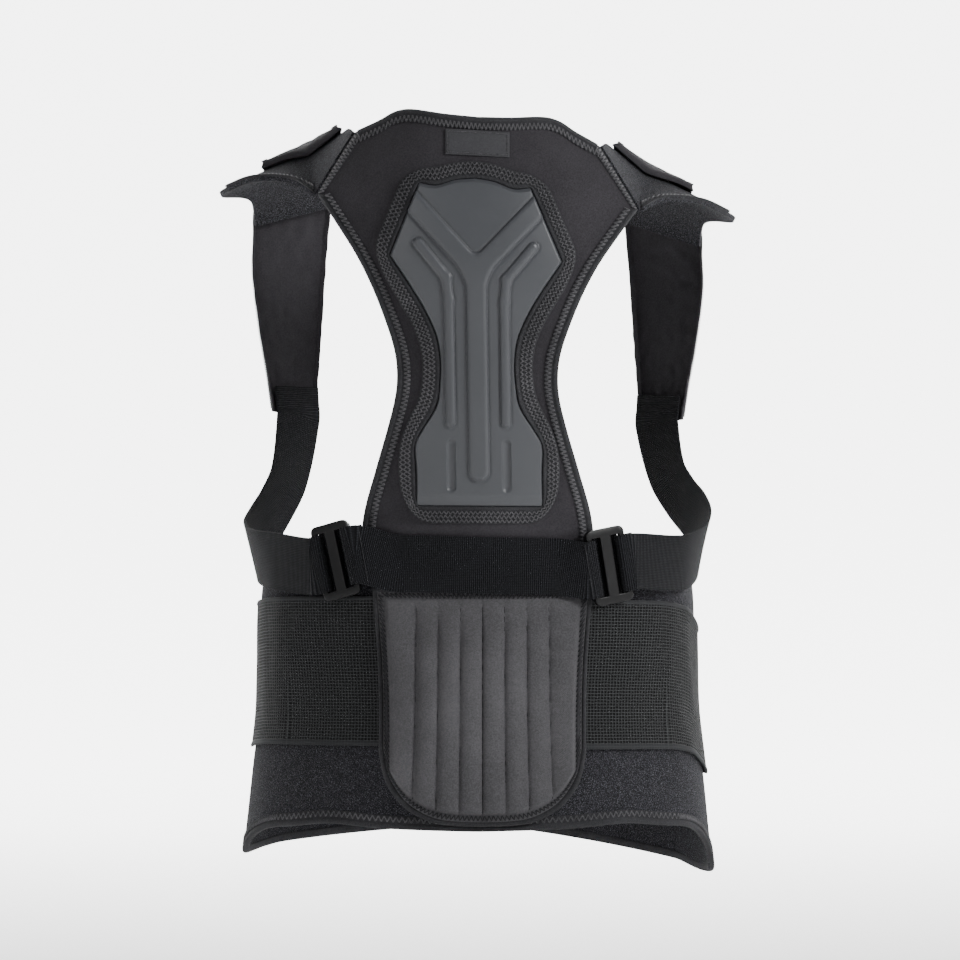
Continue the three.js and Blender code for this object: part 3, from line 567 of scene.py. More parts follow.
# Back panel: smooth knit-faced neoprene over the spine, bound along the neckline and both armholes.
# The wings are sewn to it along two slanted seams.
chest_half_width = 0.107
chest_height = 0.2435
neck_height = 0.3015
wing_seam_half_width = 0.081
panel_foot = 0.0034
panel_seam_far = 0.0084
panel_sides = [  # height, half width
    (0, 0.735),
    (0.136, 0.706),
    (0.259, 0.629),
    (0.382, 0.547),
    (0.464, 0.503),
    (0.526, 0.495),
    (0.587, 0.514),
    (0.669, 0.575),
    (0.752, 0.652),
    (0.834, 0.748),
    (0.916, 0.869),
    (1, 1),
]
neckline = [  # share of the half width, fall of the edge
    (0, 0.011),
    (0.28, 0.007),
    (0.5, 0),
    (0.6, 0),
    (0.7, 0.008),
    (0.8, 0.025),
    (1, 0.0514),
]


def panel_place(across, up, inset=0.0):
    """Place on the panel, its sides for up to 1 and its shoulders from 1 to 2."""
    if up <= 1:
        z = mix(panel_foot, chest_height, up)
        half = chest_half_width * read(panel_sides, z / chest_height, 1) - inset
        return across * half, z
    top = neck_height * (1 - read(neckline, abs(across), 1)) - inset
    half = mix(chest_half_width, wing_seam_half_width, up - 1) - inset
    return across * half, mix(chest_height, top, up - 1)


def panel_swell(x, z):
    """Soft fold where the band draws the panel in, and shallow dents elsewhere."""
    fold = 0.0015 * math.exp(-((z - 0.0245) / 0.0035) ** 2)
    return fold + 0.0006 * noise.noise(Vector((x * 22, z * 14, 5)))


def on_panel(u, v):
    x, z = panel_place(2 * u - 1, v * 2 if v * 2 <= 1 else 1 + (v * 2 - 1))
    return back_point(x, z, foam + panel_swell(x, z))


grain_group, grain_in, grain_out = node_group(
    "fine_grain", {"Scale": 2000.0, "Detail": 3.0}, {"Grain": "NodeSocketFloat"})
spot = grain_group.nodes.new("ShaderNodeTexCoord")
specks = grain_group.nodes.new("ShaderNodeTexNoise")
link(grain_group, spot.outputs["Object"], specks.inputs["Vector"])
link(grain_group, grain_in.outputs[0], specks.inputs["Scale"])
link(grain_group, grain_in.outputs[1], specks.inputs["Detail"])
link(grain_group, specks.outputs["Fac"], grain_out.inputs["Grain"])

neoprene_cloth, tree, surface, tone = cloth(
    "neoprene_face", (0.026, 0.024, 0.0275), (0.046, 0.043, 0.049), 0.8, 0.03)
knit = placed(tree, weave_group, Across_per_metre=2600.0, Along_per_metre=2000.0)
grain = placed(tree, grain_group, Scale=2600.0)
link(tree, tone, surface.inputs["Base Color"])
bumped(tree, surface, maths(tree, "ADD", knit.outputs["Height"], grain.outputs["Grain"]), 0.00012)

panel = laid("back_panel_cloth", 150, 80, on_panel, wall=foam)
panel.data.materials.append(neoprene_cloth)
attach(panel, "root")
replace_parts(panel, "back_panel")


def neck_edge(share, inset, off):
    x, z = panel_place(mix(-1, 1, share), 2)
    return back_point(x, z - inset, off)


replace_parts(rolled("neck_rolled", 76, neck_edge), "neck_binding")
stitched("neck_zigzag", zigzag(neck_edge, 0.17, seam_near, panel_seam_far, seam_off))


def armhole_edge(side):
    def edge(share, inset, off):
        x, z = panel_place(side, share, inset)
        return back_point(x, z, off + panel_swell(x, z))
    return edge


for side, name in ((-1, "left"), (1, "right")):
    edge = armhole_edge(side)
    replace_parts(rolled(f"armhole_rolled_{name}", 110, edge), f"armhole_binding_{name}")
    stitched(f"armhole_zigzag_{name}", zigzag(edge, 0.255, seam_near, panel_seam_far, seam_off))

# Back plate: one moulding of matt plastic, with a raised Y, two raised side ribs and two sunk slots.
# It lies on the panel, inside a stitched cloth frame, and follows the curve of the back.
plate_half_width = 0.0572
plate_height = 0.217
plate_foot = 0.0393
plate_lean = 0.015
plate_middle = 0.136
plate_off = foam + 2 * seat
plate_wall = 0.0022
plate_shoulder = 0.757
plate_sides = [  # height, half width
    (0, 0.735),
    (0.107, 0.732),
    (0.188, 0.738),
    (0.231, 0.652),
    (0.303, 0.483),
    (0.372, 0.437),
    (0.444, 0.427),
    (0.518, 0.472),
    (0.592, 0.596),
    (0.664, 0.76),
    (plate_shoulder, 1),
]
plate_top_half = 0.645
plate_crest = [(0, 0), (0.35, 0.008), (0.7, 0.027), (1, 0.02)]  # share of the half width, fall of the top
ridge_fork = (0, 0.715)
ridge_lines = [[(0, 0.107), ridge_fork], [ridge_fork, (0.82, 0.947)], [ridge_fork, (-0.82, 0.947)]]
rib_line = [(0.32, 0.256), (0.324, 0.625), (0.35, 0.695), (0.67, 0.797)]
slot_line = [(0.322, 0.057), (0.322, 0.19)]
relief = [  # lines of points as shares of half width and height, width, rise, fillet where lines meet
    (ridge_lines, 0.014, 0.0024, 0.006),
    ([rib_line], 0.0068, 0.0022, 0.002),
    ([[(-across, height) for across, height in rib_line]], 0.0068, 0.0022, 0.002),
    ([slot_line], 0.006, -0.0016, 0),
    ([[(-across, height) for across, height in slot_line]], 0.006, -0.0016, 0),
]
bar_shoulder = 0.0034
plate_rim_depth = 0.0016


def leaned(across, height):
    """Place at shares of the plate's half width and height; the plate leans a little."""
    z = plate_foot + height * plate_height
    return across * plate_half_width + plate_lean * (plate_middle - z), z


def plate_place(across, up):
    """Place on the plate, its sides for up to 1 and its head from 1 to 2."""
    lower = min(up, 1) * plate_shoulder
    half = read(plate_sides, lower, 1)
    height = lower
    if up > 1:
        half = mix(1, plate_top_half, up - 1)
        height = mix(plate_shoulder, 1 - read(plate_crest, abs(across), 1), up - 1)
    return leaned(across * half, height)


relief_runs = []
for lines, width, rise, fillet in relief:
    runs = []
    for line in lines:
        points = [Vector(leaned(*point)) for point in line]
        runs += [(a, b - a) for a, b in zip(points[:-1], points[1:])]
    relief_runs.append((runs, width / 2, rise, fillet))


def bar_distance(here, runs, fillet):
    """Distance to the nearest of the lines, rounded off where two are equally near."""
    nearest = None
    for start, run in runs:
        t = min(max((here - start).dot(run) / run.length_squared, 0), 1)
        away = (here - start - run * t).length
        if nearest is None:
            nearest = away
        else:
            meet = max(fillet - abs(nearest - away), 0) / fillet
            nearest = min(nearest, away) - meet * meet * fillet / 4
    return nearest


def plate_relief(x, z):
    """Bars have round shoulders and a shallow gutter along their foot; slots are sunk."""
    here = Vector((x, z))
    height = gutter = 0.0
    for runs, half, rise, fillet in relief_runs:
        away = bar_distance(here, runs, fillet)
        shoulder = min(half, bar_shoulder)
        inward = min(max((half - away) / shoulder, 0), 1)
        bar = rise * math.sqrt(1 - (1 - inward) ** 2)
        height = height + bar if rise < 0 else max(height, bar)
        if rise > 0 and away > half:
            gutter = max(gutter, math.exp(-((away - half) / 0.0011) ** 2))
    return height - (0.0005 * gutter if height == 0 else 0)


def on_plate(u, v):
    across, up = 2 * u - 1, 2 * v
    x, z = plate_place(across, up)
    rim = min(1 - abs(across), v, 1 - v) * 2
    edge = plate_rim_depth * (1 - step(rim, 0.0, 0.05))
    return back_point(x, z, plate_off + plate_wall + plate_relief(x, z) - edge)


plate_plastic = bpy.data.materials.new("moulded_plate")
plate_plastic.use_nodes = True
tree = plate_plastic.node_tree
surface = tree.nodes["Principled BSDF"]
surface.inputs["Specular IOR Level"].default_value = 0.5
grain = placed(tree, grain_group, Scale=1800.0, Detail=2.0).outputs["Grain"]
patches = placed(tree, patch_group, Scale=9.0)
link(tree, blend(tree, patches.outputs[0], (0.046, 0.049, 0.055), (0.062, 0.065, 0.072)),
     surface.inputs["Base Color"])
link(tree, ramp(tree, grain, 0, 1, 0.36, 0.48), surface.inputs["Roughness"])
bumped(tree, surface, grain, 0.00012, 0.6)

plate = laid("back_plate_moulding", 370, 190, on_plate)
shell = bmesh.new()
shell.from_mesh(plate.data)
rim_edges = [e for e in shell.edges if e.is_boundary]
turned = bmesh.ops.extrude_edge_only(shell, edges=rim_edges)
for vert in [g for g in turned["geom"] if isinstance(g, bmesh.types.BMVert)]:
    inward = back_point(vert.co.x, vert.co.z, 0) - vert.co
    vert.co += inward.normalized() * plate_rim_depth
bmesh.ops.recalc_face_normals(shell, faces=shell.faces[:])
shell.to_mesh(plate.data)
shell.free()
plate.data.materials.append(plate_plastic)
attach(plate, "root")
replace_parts(plate, "back_plate")

# Plate frame: a cloth border round the plate, with a smooth raised lip next to it.
# Three rows of zigzag sew it to the panel.
frame_width = 0.0122


def plate_outline():
    rows, columns = 60, 30
    edge = [plate_place(-1, 2 * i / rows) for i in range(rows)]
    edge += [plate_place(2 * j / columns - 1, 2) for j in range(columns)]
    edge += [plate_place(1, 2 * i / rows) for i in range(rows, 0, -1)]
    edge += [plate_place(2 * j / columns - 1, 0) for j in range(columns, 0, -1)]
    return edge


def spread(outline, distance):
    """Outline moved outwards, its corners rounded by evening the points out."""
    moved = []
    count = len(outline)
    for k, (x, z) in enumerate(outline):
        bx, bz = outline[k - 1]
        ax, az = outline[(k + 1) % count]
        into, out = Vector((x - bx, z - bz)).normalized(), Vector((ax - x, az - z)).normalized()
        normal = Vector((-into.y - out.y, into.x + out.x)).normalized()
        mitre = distance / max(-normal.x * into.y + normal.y * into.x, 0.92)
        moved.append(Vector((x + normal.x * mitre, z + normal.y * mitre)))
    for _ in range(round(distance / 0.002)):
        moved = [(moved[k - 1] + moved[k] * 2 + moved[(k + 1) % count]) / 4 for k in range(count)]
    return moved


outline = plate_outline()
frame_profile = [  # distance from the plate, rise in thicknesses of tape
    (0.0002, 0.6),
    (0.0008, 1.7),
    (0.0022, 1.8),
    (0.003, 1.1),
    (0.0036, 1.1),
    (0.007, 1.5),
    (0.0108, 1.2),
    (0.0118, 0.9),
    (frame_width, -0.3),
]
frame_rings = {inset: spread(outline, inset) for inset, _ in frame_profile}


def on_frame(u, v):
    inset, off = frame_profile[round(u * (len(frame_profile) - 1))]
    x, z = frame_rings[inset][round(v * len(outline)) % len(outline)]
    return back_point(x, z, plate_off + off * tape)


border = laid("plate_frame_cloth", len(outline), len(frame_profile) - 1, on_frame, ring=True)
taped(border)
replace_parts(border, "plate_frame")


def frame_seam(near, far, off, pitch=0.003):
    """Zigzag round the frame between two distances from the plate."""
    inner, outer = spread(outline, near), spread(outline, far)
    points, travelled, turn = [], 0.0, 0
    for k in range(len(outline) + 1):
        a, b = inner[k % len(outline)], inner[(k + 1) % len(outline)]
        length = (b - a).length
        while travelled < length:
            row = (inner, outer)[turn % 2]
            x, z = row[k % len(outline)].lerp(row[(k + 1) % len(outline)], travelled / length)
            points.append(worn(back_point(x, z, plate_off + off)))
            turn += 1
            travelled += pitch / 2
        travelled -= length
    return points


for name, near, far in (("inner", 0.0036, 0.0058), ("middle", 0.0062, 0.0085), ("outer", 0.0089, 0.0112)):
    stitched(f"frame_zigzag_{name}", frame_seam(near, far, 0.0017), 0.00038)

# Label: a small patch of matt rubbered cloth under the neckline, left bare.
# A running stitch in a shallow groove along its edge holds it.
label_width, label_height, label_foot = 0.0427, 0.0176, 0.2718


def on_label(u, v):
    x, z = (u - 0.5) * label_width, label_foot + v * label_height
    rim = min(u * label_width, (1 - u) * label_width, v * label_height, (1 - v) * label_height)
    groove = 0.0003 * math.exp(-((rim - 0.0016) / 0.0004) ** 2)
    return back_point(x, z, foam + seat + 0.0013 - groove - 0.0005 * (1 - step(rim, 0, 0.0006)))


label = laid("label_patch_rubber", 44, 100, on_label, wall=0.001)
label_skin, tree, surface, tone = cloth("label_skin", (0.046, 0.046, 0.05), (0.062, 0.062, 0.067), 0.55)
link(tree, tone, surface.inputs["Base Color"])
label_weave = placed(tree, weave_group, Across_per_metre=1700.0, Along_per_metre=1700.0)
bumped(tree, surface, label_weave.outputs["Height"], 0.00008)
label.data.materials.append(label_skin)
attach(label, "root")
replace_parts(label, "label_patch")


def label_edge(share, inset, off):
    w, h = label_width / 2 - inset, label_height / 2 - inset
    run = share * 4 * (w + h)
    sides = [(2 * w, (-w, -h), (1, 0)), (2 * h, (w, -h), (0, 1)),
             (2 * w, (w, h), (-1, 0)), (2 * h, (-w, h), (0, -1))]
    for length, start, way in sides:
        if run <= length:
            break
        run -= length
    x, z = start[0] + way[0] * run, start[1] + way[1] * run
    return back_point(x, label_foot + label_height / 2 + z, off)


stitched("label_stitches", running(label_edge, 0.115, 0.0016, foam + seat + 0.0015, 0.0024), 0.00028)

# Elastic side panels: open woven elastic, 100 mm wide, with a firm woven edge at top and foot.
# Each starts under the pad and runs round the side to a tab of loop pile, next to the closure in front.
elastic_height = 0.1
elastic_top = -0.02
elastic_off = foam + 2 * seat
mesh_wall = 0.0018
elastic_fall = [  # degrees from the middle of the back, fall on the left and on the right
    (0, 0, 0.02),
    (40, 0.02, 0.05),
    (62, 0.035, 0.1),
    (76, 0.055, 0.19),
    (90, 0.075, 0.26),
    (120, 0.06, 0.24),
    (180, 0, 0),
]


def elastic_top_at(angle):
    column = 1 if angle < 0 else 2
    return elastic_top - elastic_height * read(elastic_fall, abs(math.degrees(angle)), column)


def elastic_edges(angle):
    narrow = elastic_height * 0.18 * step(abs(math.degrees(angle)), 110, 150)
    return elastic_top_at(angle) - narrow, elastic_top_at(angle) - elastic_height + narrow


open_weave, tree, surface, tone = cloth(
    "open_elastic_weave", (0.006, 0.0065, 0.007), (0.011, 0.0115, 0.012), 0.8, 0.02)
at = tree.nodes.new("ShaderNodeUVMap")
at.uv_map = "UVMap"
axes = tree.nodes.new("ShaderNodeSeparateXYZ")
link(tree, at.outputs[0], axes.inputs[0])
jitter = tree.nodes.new("ShaderNodeTexNoise")
jitter.inputs["Scale"].default_value = 260
link(tree, at.outputs[0], jitter.inputs["Vector"])
waver = maths(tree, "MULTIPLY", jitter.outputs["Fac"], 0.0009)
row_phase = maths(tree, "MULTIPLY", maths(tree, "ADD", axes.outputs[0], waver), 2 * math.pi / 0.0021)
pick_phase = maths(tree, "MULTIPLY", maths(tree, "ADD", axes.outputs[1], waver), 2 * math.pi / 0.0024)
cords = maths(tree, "SINE", row_phase)
picks = maths(tree, "SINE", pick_phase)
lattice = maths(tree, "MAXIMUM", cords, maths(tree, "MULTIPLY", picks, 0.9))
from_edge = maths(tree, "MINIMUM", axes.outputs[0], maths(tree, "SUBTRACT", elastic_height, axes.outputs[0]))
firm_edge = maths(tree, "LESS_THAN", from_edge, 0.0032)
open_part = maths(tree, "SUBTRACT", 1.0, firm_edge)
# painted highlight on the crowns of the cords, and painted shade: the holes between them are coloured near
# black
lit = speckled(tree, tone, ramp(tree, lattice, 0.65, 1.0, 0, 0.7), (0.075, 0.078, 0.08))
painted_hole_shade = ramp(tree, lattice, -0.1, -0.75)
with_hole_shade = speckled(tree, lit, maths(tree, "MULTIPLY", painted_hole_shade, open_part), (0.003, 0.003, 0.003))
edged = speckled(tree, with_hole_shade, maths(tree, "MULTIPLY", firm_edge, 0.7), (0.03, 0.031, 0.033))
link(tree, edged, surface.inputs["Base Color"])
bumped(tree, surface, maths(tree, "MULTIPLY", lattice, open_part), 0.0006)

for side, name in ((-1, "left"), (1, "right")):
    start, end = math.radians(5), math.radians(150)

    def on_elastic(u, v, side=side):
        angle = side * mix(start, end, v)
        top, foot = elastic_edges(angle)
        z = mix(top, foot, u)
        rim = min(u, 1 - u) * elastic_height
        roll = 0.0007 * (1 - step(rim, 0.0022, 0.0034)) - 0.0006 * (1 - step(rim, 0, 0.0012))
        sag = 0.0006 * noise.noise(Vector((angle * 6, z * 30, 8)))
        return torso_point(angle, z, elastic_off + mesh_wall + roll + max(sag, -0.0002))

    elastic = laid(f"elastic_panel_cloth_{name}", 130, 60, on_elastic, wall=mesh_wall)
    elastic.data.materials.append(open_weave)
    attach(elastic, "root")
    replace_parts(elastic, f"elastic_panel_{name}")

    def on_tab(u, v, side=side):
        angle = side * mix(math.radians(150.3), math.radians(164), v)
        top = elastic_top_at(angle) - elastic_height * 0.16
        rim = min(u, 1 - u, v, 1 - v)
        z = mix(top, elastic_top_at(angle) - elastic_height * 0.84, u)
        return torso_point(angle, z, elastic_off + mesh_wall + tape - 0.0008 * (1 - step(rim, 0, 0.03)))

    tab = laid(f"elastic_tab_cloth_{name}", 30, 40, on_tab, wall=mesh_wall)
    tab.data.materials.append(pile_cloth)
    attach(tab, "root")
    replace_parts(tab, f"elastic_tab_{name}")


def on_closure(u, v):
    angle = math.pi + math.radians(mix(-9, 9, v))
    z = mix(elastic_top, elastic_top - elastic_height * 1.4, u)
    rim = min(u * 0.14, (1 - u) * 0.14, v * 0.06, (1 - v) * 0.06)
    return torso_point(angle, z, foam + seat + mesh_wall - 0.0008 * (1 - step(rim, 0, 0.0015)))


closure = laid("belt_closure_cloth", 30, 60, on_closure, wall=0.0014)
closure.data.materials.append(pile_cloth)
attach(closure, "root")
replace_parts(closure, "belt_closure")

# Lumbar pad: satin-faced cloth quilted over wadding, with eight upright channels that fan out downwards.
# It lies on the belt and the elastic panels, and its rim is taped and sewn with a zigzag.
pad_half_width = 0.074
pad_top = -0.015
pad_height = 0.1586
pad_shift = 0.0034
pad_channels = 8
pad_seam_step = 0.209  # of the half width, between two seams at the pad's top
pad_seam_fan = 1.13  # how much wider apart the seams are at its foot
pad_rim = 0.0036
pad_foam = 0.0064
pad_seat = elastic_off + mesh_wall + seat
pad_seam_share = 0.42  # of the pad's thickness, left at a sewn channel
pad_rim_share = 0.36
pad_sides = [(0, 1), (0.26, 0.97), (0.45, 0.951), (0.67, 0.94), (1, 0.938)]  # share down, half width
pad_foot_edge = [  # share of the half width, rise of the foot
    (0, 0),
    (0.25, 0.003),
    (0.45, 0.013),
    (0.62, 0.04),
    (0.77, 0.083),
    (0.885, 0.143),
    (0.96, 0.21),
    (1, 0.3),
]
web_width = 0.038


def pad_place(across, down, inset):
    half = pad_half_width * read(pad_sides, down, 1) - inset
    rise = pad_height * read(pad_foot_edge, abs(across), 1)
    foot = pad_top - pad_height + rise + inset
    return pad_shift + across * half, mix(pad_top - inset, foot, down)


def pad_swell(z):
    """Share of its thickness that the pad has left where the band presses it."""
    return mix(0.25, 1, step(pad_top - z, 2 * pad_rim, web_width))


def on_pad(u, v):
    across = 2 * u - 1
    x, z = pad_place(across, v, pad_rim * 0.9)
    channel = across / (pad_seam_step * mix(1, pad_seam_fan, v)) + pad_channels / 2
    if channel < 1:
        within = max((channel + 0.6) / 1.6, 0)
    elif channel > pad_channels - 1:
        within = max((pad_channels + 0.6 - channel) / 1.6, 0)
    else:
        within = channel % 1
    crown = abs(math.sin(math.pi * within)) ** 0.5
    seam = min(within, 1 - within) * 0.016
    near_seam = math.exp(-(seam / 0.004) ** 2)
    pucker = 0.0007 * noise.noise(Vector((round(channel) * 3.1, z * 240, 4))) * near_seam
    lumps = 0.0005 * noise.noise(Vector((x * 60, z * 45, 9)))
    rim = min(u, 1 - u) * 2 * pad_half_width
    rim = min(rim, v * pad_height, (1 - v) * pad_height * (1 - 0.3 * abs(across)))
    inside = step(rim, 0.0036, 0.0075)
    thick = pad_foam * mix(pad_rim_share, mix(pad_seam_share, 1, crown), inside) * pad_swell(z)
    return back_point(x, z, pad_seat + thick + (lumps + pucker) * pad_swell(z))


pad_cloth, tree, surface, tone = cloth(
    "quilted_satin", (0.058, 0.057, 0.061), (0.105, 0.103, 0.11), 0.6, 0.03)
satin = placed(tree, weave_group, Across_per_metre=2200.0, Along_per_metre=1500.0)
grain = placed(tree, grain_group, Scale=1500.0)
link(tree, tone, surface.inputs["Base Color"])
bumped(tree, surface, maths(tree, "ADD", satin.outputs["Height"], grain.outputs["Grain"]), 0.00018)

pad = laid("lumbar_pad_quilt", 170, 192, on_pad, wall=0.0004)
pad.data.materials.append(pad_cloth)
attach(pad, "root")
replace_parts(pad, "lumbar_pad")

for k in range(1, pad_channels):
    def channel_line(share, inset, off, k=k):
        down = mix(0.06, 0.965, share)
        x, z = pad_place((k - pad_channels / 2) * pad_seam_step * mix(1, pad_seam_fan, down), down, pad_rim)
        return back_point(x + inset, z, off + pad_foam * pad_seam_share * pad_swell(z))

    seam = running(channel_line, 0.14, 0, pad_seat + 0.0003)
    stitched(f"pad_channel_stitches_{k}", seam, 0.00028, binding_cloth)

rim_rows, rim_columns = 40, 60
around = [(-1, i / rim_rows) for i in range(rim_rows)]
around += [(2 * j / rim_columns - 1, 1) for j in range(rim_columns)]
around += [(1, i / rim_rows) for i in range(rim_rows, 0, -1)]
around += [(2 * j / rim_columns - 1, 0) for j in range(rim_columns, 0, -1)]
rim_profile = [(0.0036, 0.6), (0.0028, 2.2), (0.0014, 3.0), (0.0002, 2.2), (0, 0.4)]


def on_rim(u, v):
    inset, off = rim_profile[round(u * (len(rim_profile) - 1))]
    x, z = pad_place(*around[round(v * len(around)) % len(around)], inset)
    return back_point(x, z, pad_seat + off * tape * mix(0.35, 1, pad_swell(z)))


pad_edge = laid("pad_rim_tape", len(around), len(rim_profile) - 1, on_rim, ring=True)
taped(pad_edge)
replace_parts(pad_edge, "pad_binding")
around_closed = around + around[:1]
rim_run = run_lengths([Vector((*pad_place(*place, 0), 0)) for place in around_closed])
rim_step = 0.0016
rim_stitches = []
for k in range(int(rim_run[-1] / rim_step)):
    across = np.interp(k * rim_step, rim_run, [place[0] for place in around_closed])
    down = np.interp(k * rim_step, rim_run, [place[1] for place in around_closed])
    inset = 0.0008 if k % 2 else 0.0044
    across *= 1 - inset / pad_half_width
    down = 0.5 + (down - 0.5) * (1 - 2 * inset / pad_height)
    rim_stitches.append(worn(on_pad((across + 1) / 2, down) - Vector((0, 0.0003, 0))))
stitched("pad_rim_zigzag", rim_stitches, 0.00045, binding_cloth)

# Shoulder wings: loop-pile neoprene sewn to the panel, over each shoulder, with a bound rear edge.
# The padded straps lie on them and are held by hook tape.
shoulder_reach = 0.176
shoulder_height = 0.287
strap_width = 0.07
strap_foam = 0.005
seam_gap = 0.0005
strap_neck_edge = -0.95
strap_start, strap_end = 0.75, 7
strap_seat = foam + 2.5 * seat
shoulder_edge = [  # place across, out, front, up
    (-0.4, 0.611, -0.82, 0.85),
    (0, 0.716, -0.67, 0.873),
    (0.5, 0.858, -0.5, 0.877),
    (1, 0.97, -0.27, 0.857),
]
shoulder_ridge = [  # place across, out, front, up
    (-1, 0.5, -0.36, 1),
    (-0.4, 0.643, -0.16, 0.953),
    (0, 0.75, -0.1, 0.925),
    (0.5, 0.881, -0.05, 0.885),
    (1, 1, -0.02, 0.846),
]
shoulder_front = [  # out, front, up, turn, fall, half width
    (0.716, 0.275, 0.902, -6, 26, 0.52),
    (0.722, 0.58, 0.822, -25, 16, 0.46),
    (0.733, 0.653, 0.697, -36, 6, 0.46),
    (0.727, 0.633, 0.557, -38, 0, 0.4),
    (0.716, 0.602, 0.436, -40, -6, 0.33),
    (0.705, 0.582, 0.348, -42, -10, 0.3),
]


def table_point(table, place):
    return Vector((shoulder_reach * read(table, place, 1), waist_half_depth * read(table, place, 2),
                   shoulder_height * read(table, place, 3)))


def rear_point(place):
    """Rear edge of the shoulder: the panel's slanted seam, then the wing's own free edge."""
    first = shoulder_edge[0][0]
    if place <= first:
        x, z = panel_place(1, 1 + min((first - place) / (first + 1), 1))
        return back_point(x + seam_gap, z, 0)
    foot = back_point(chest_half_width + seam_gap, chest_height, 0)
    return foot.lerp(table_point(shoulder_edge, place), step(place, first, 0))


def front_point(row, place):
    out, front, up, turn, fall, half = row
    turn, fall = math.radians(turn), math.radians(fall)
    across = Vector((math.cos(turn) * math.cos(fall), math.sin(turn) * math.cos(fall), -math.sin(fall)))
    middle = Vector((out * shoulder_reach, front * waist_half_depth, up * shoulder_height))
    return middle + across * place * half * strap_width


shoulder_rows = {}


def shoulder_point(side, place, along):
    """Point of the shoulder: place goes across it from the neck, along from the back over to the front."""
    key = round(place, 4)
    if key not in shoulder_rows:
        rows = [rear_point(key), table_point(shoulder_ridge, key)]
        shoulder_rows[key] = rows + [front_point(row, key) for row in shoulder_front]
    rows = shoulder_rows[key]
    last = len(rows) - 1
    at = min(max(along, 0), last)
    k = min(int(at), last - 1)
    t = at - k
    # a smooth curve through the rows, its ends carried straight on
    p1, p2 = rows[k], rows[k + 1]
    p0 = rows[k - 1] if k else p1 * 2 - p2
    p3 = rows[k + 2] if k + 2 <= last else p2 * 2 - p1
    point = ((p1 * 2) + (p2 - p0) * t + (p0 * 2 - p1 * 5 + p2 * 4 - p3) * t ** 2
             + (p1 * 3 - p0 - p2 * 3 + p3) * t ** 3) / 2
    return Vector((side * point.x, point.y, point.z))


def shoulder_off(side, place, along, off):
    """Point a distance off the shoulder, square to it; near the trunk's seam, square to the back."""
    step_by = 0.04
    point = shoulder_point(side, place, along)
    before = shoulder_point(side, place, max(along - step_by, 0))
    run = shoulder_point(side, place, along + step_by) - before
    across = shoulder_point(side, place + step_by, along) - shoulder_point(side, place - step_by, along)
    normal = across.cross(run).normalized() * side
    first = shoulder_edge[0][0]
    if along < 0.25 and place < first + 0.5:
        angle = back_angle(point.x, point.z, 0)
        near_panel = (1 - along / 0.25) * (1 - step(place, first, first + 0.5))
        normal = normal.lerp(outward_at(angle, point.z), near_panel).normalized()
    return point + normal * off


def strap_place(along, share):
    """Place across the shoulder, at a share of the strap's width; the strap widens on its way down."""
    return mix(strap_neck_edge, mix(0.3, 1, step(along, 1, 3)), share)


for side, name in ((-1, "left"), (1, "right")):
    def on_wing(u, v, side=side):
        return shoulder_off(side, 2 * u - 1, v * 3, foam)

    wing = laid(f"shoulder_wing_cloth_{name}", 60, 50, on_wing, wall=foam)
    wing.data.materials.append(pile_cloth)
    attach(wing, "root")
    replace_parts(wing, f"shoulder_wing_{name}")

    def wing_edge(share, inset, off, side=side):
        place = mix(shoulder_edge[0][0] + 0.02, 1, share)
        return shoulder_off(side, place, inset / 0.06, off)

    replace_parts(rolled(f"wing_rolled_{name}", 50, wing_edge), f"wing_binding_{name}")
    stitched(f"wing_zigzag_{name}", zigzag(wing_edge, 0.08, seam_near, seam_far, seam_off))

    def seam_line(share, inset, off, side=side):
        x, z = panel_place(side, mix(1.01, 1.99, share), inset)
        return back_point(x, z, off)

    def on_seam_tape(u, v, side=side):
        crown = tape * (0.5 + 0.7 * math.sin(math.pi * u))
        return seam_line(v, mix(0.0036, -0.0004, u), foam + crown, side)

    seam_tape = laid(f"wing_seam_cloth_{name}", 40, 8, on_seam_tape, wall=0.0004)
    seam_tape.data.materials.append(binding_cloth)
    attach(seam_tape, "root")
    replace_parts(seam_tape, f"wing_seam_tape_{name}")
    stitched(f"wing_seam_zigzag_{name}", zigzag(seam_line, 0.05, 0.0032, 0.0002, foam + 0.0013))

    def on_strap(u, v, side=side):
        """Outer face of the padded strap, rounded at both edges and at its cut end."""
        along = mix(strap_start, strap_end, v)
        place = strap_place(along, u)
        rim = min(u, 1 - u) * strap_width
        cut = max(along - strap_start, 0) * 0.06
        round_off = step(min(rim, cut), -0.0006, 0.0035)
        ripple = 0.0008 * noise.noise(Vector((place * 4, along * 5, 3 + side)))
        off = strap_seat + strap_foam * mix(0.25, 1, round_off) + ripple
        return shoulder_off(side, place, along, off)

    strap = laid(f"shoulder_strap_cloth_{name}", 160, 48, on_strap, wall=0.0012)
    strap.data.materials.append(neoprene_cloth)
    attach(strap, "root")
    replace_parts(strap, f"shoulder_strap_{name}")

    for edge_name, edge_place in (("neck", 0.06), ("arm", 0.94)):
        def strap_seam(share, inset, off, side=side, edge_place=edge_place):
            along = mix(strap_start + 0.1, strap_end - 0.1, share)
            height = strap_seat + strap_foam + 0.0002
            return shoulder_off(side, strap_place(along, edge_place + inset * 10), along, height)

        stitched(f"strap_seam_{edge_name}_{name}", zigzag(strap_seam, 0.32, -0.003, 0.003, 0))

# Sliders: three-bar plastic slides, moulded in one piece with rounded edges, one at each end of the band.
# The webs turn round their outer bars, and the middle bar shows between.
web_thickness = 0.0016
slider_width = 0.029
slider_height = 0.051
slider_thickness = 0.0034
outer_bar = 0.004
middle_bar = 0.008
slider_corner = 0.004
slider_off = 0.0121
loop_spare = 0.0008
tail_length = 0.01
slot_spare = 0.002
sliders = {  # side, place across the back, height, lean in degrees
    "left": (-1, 0.0947, 0.0026, 14),
    "right": (1, 0.088, -0.0008, 10),
}

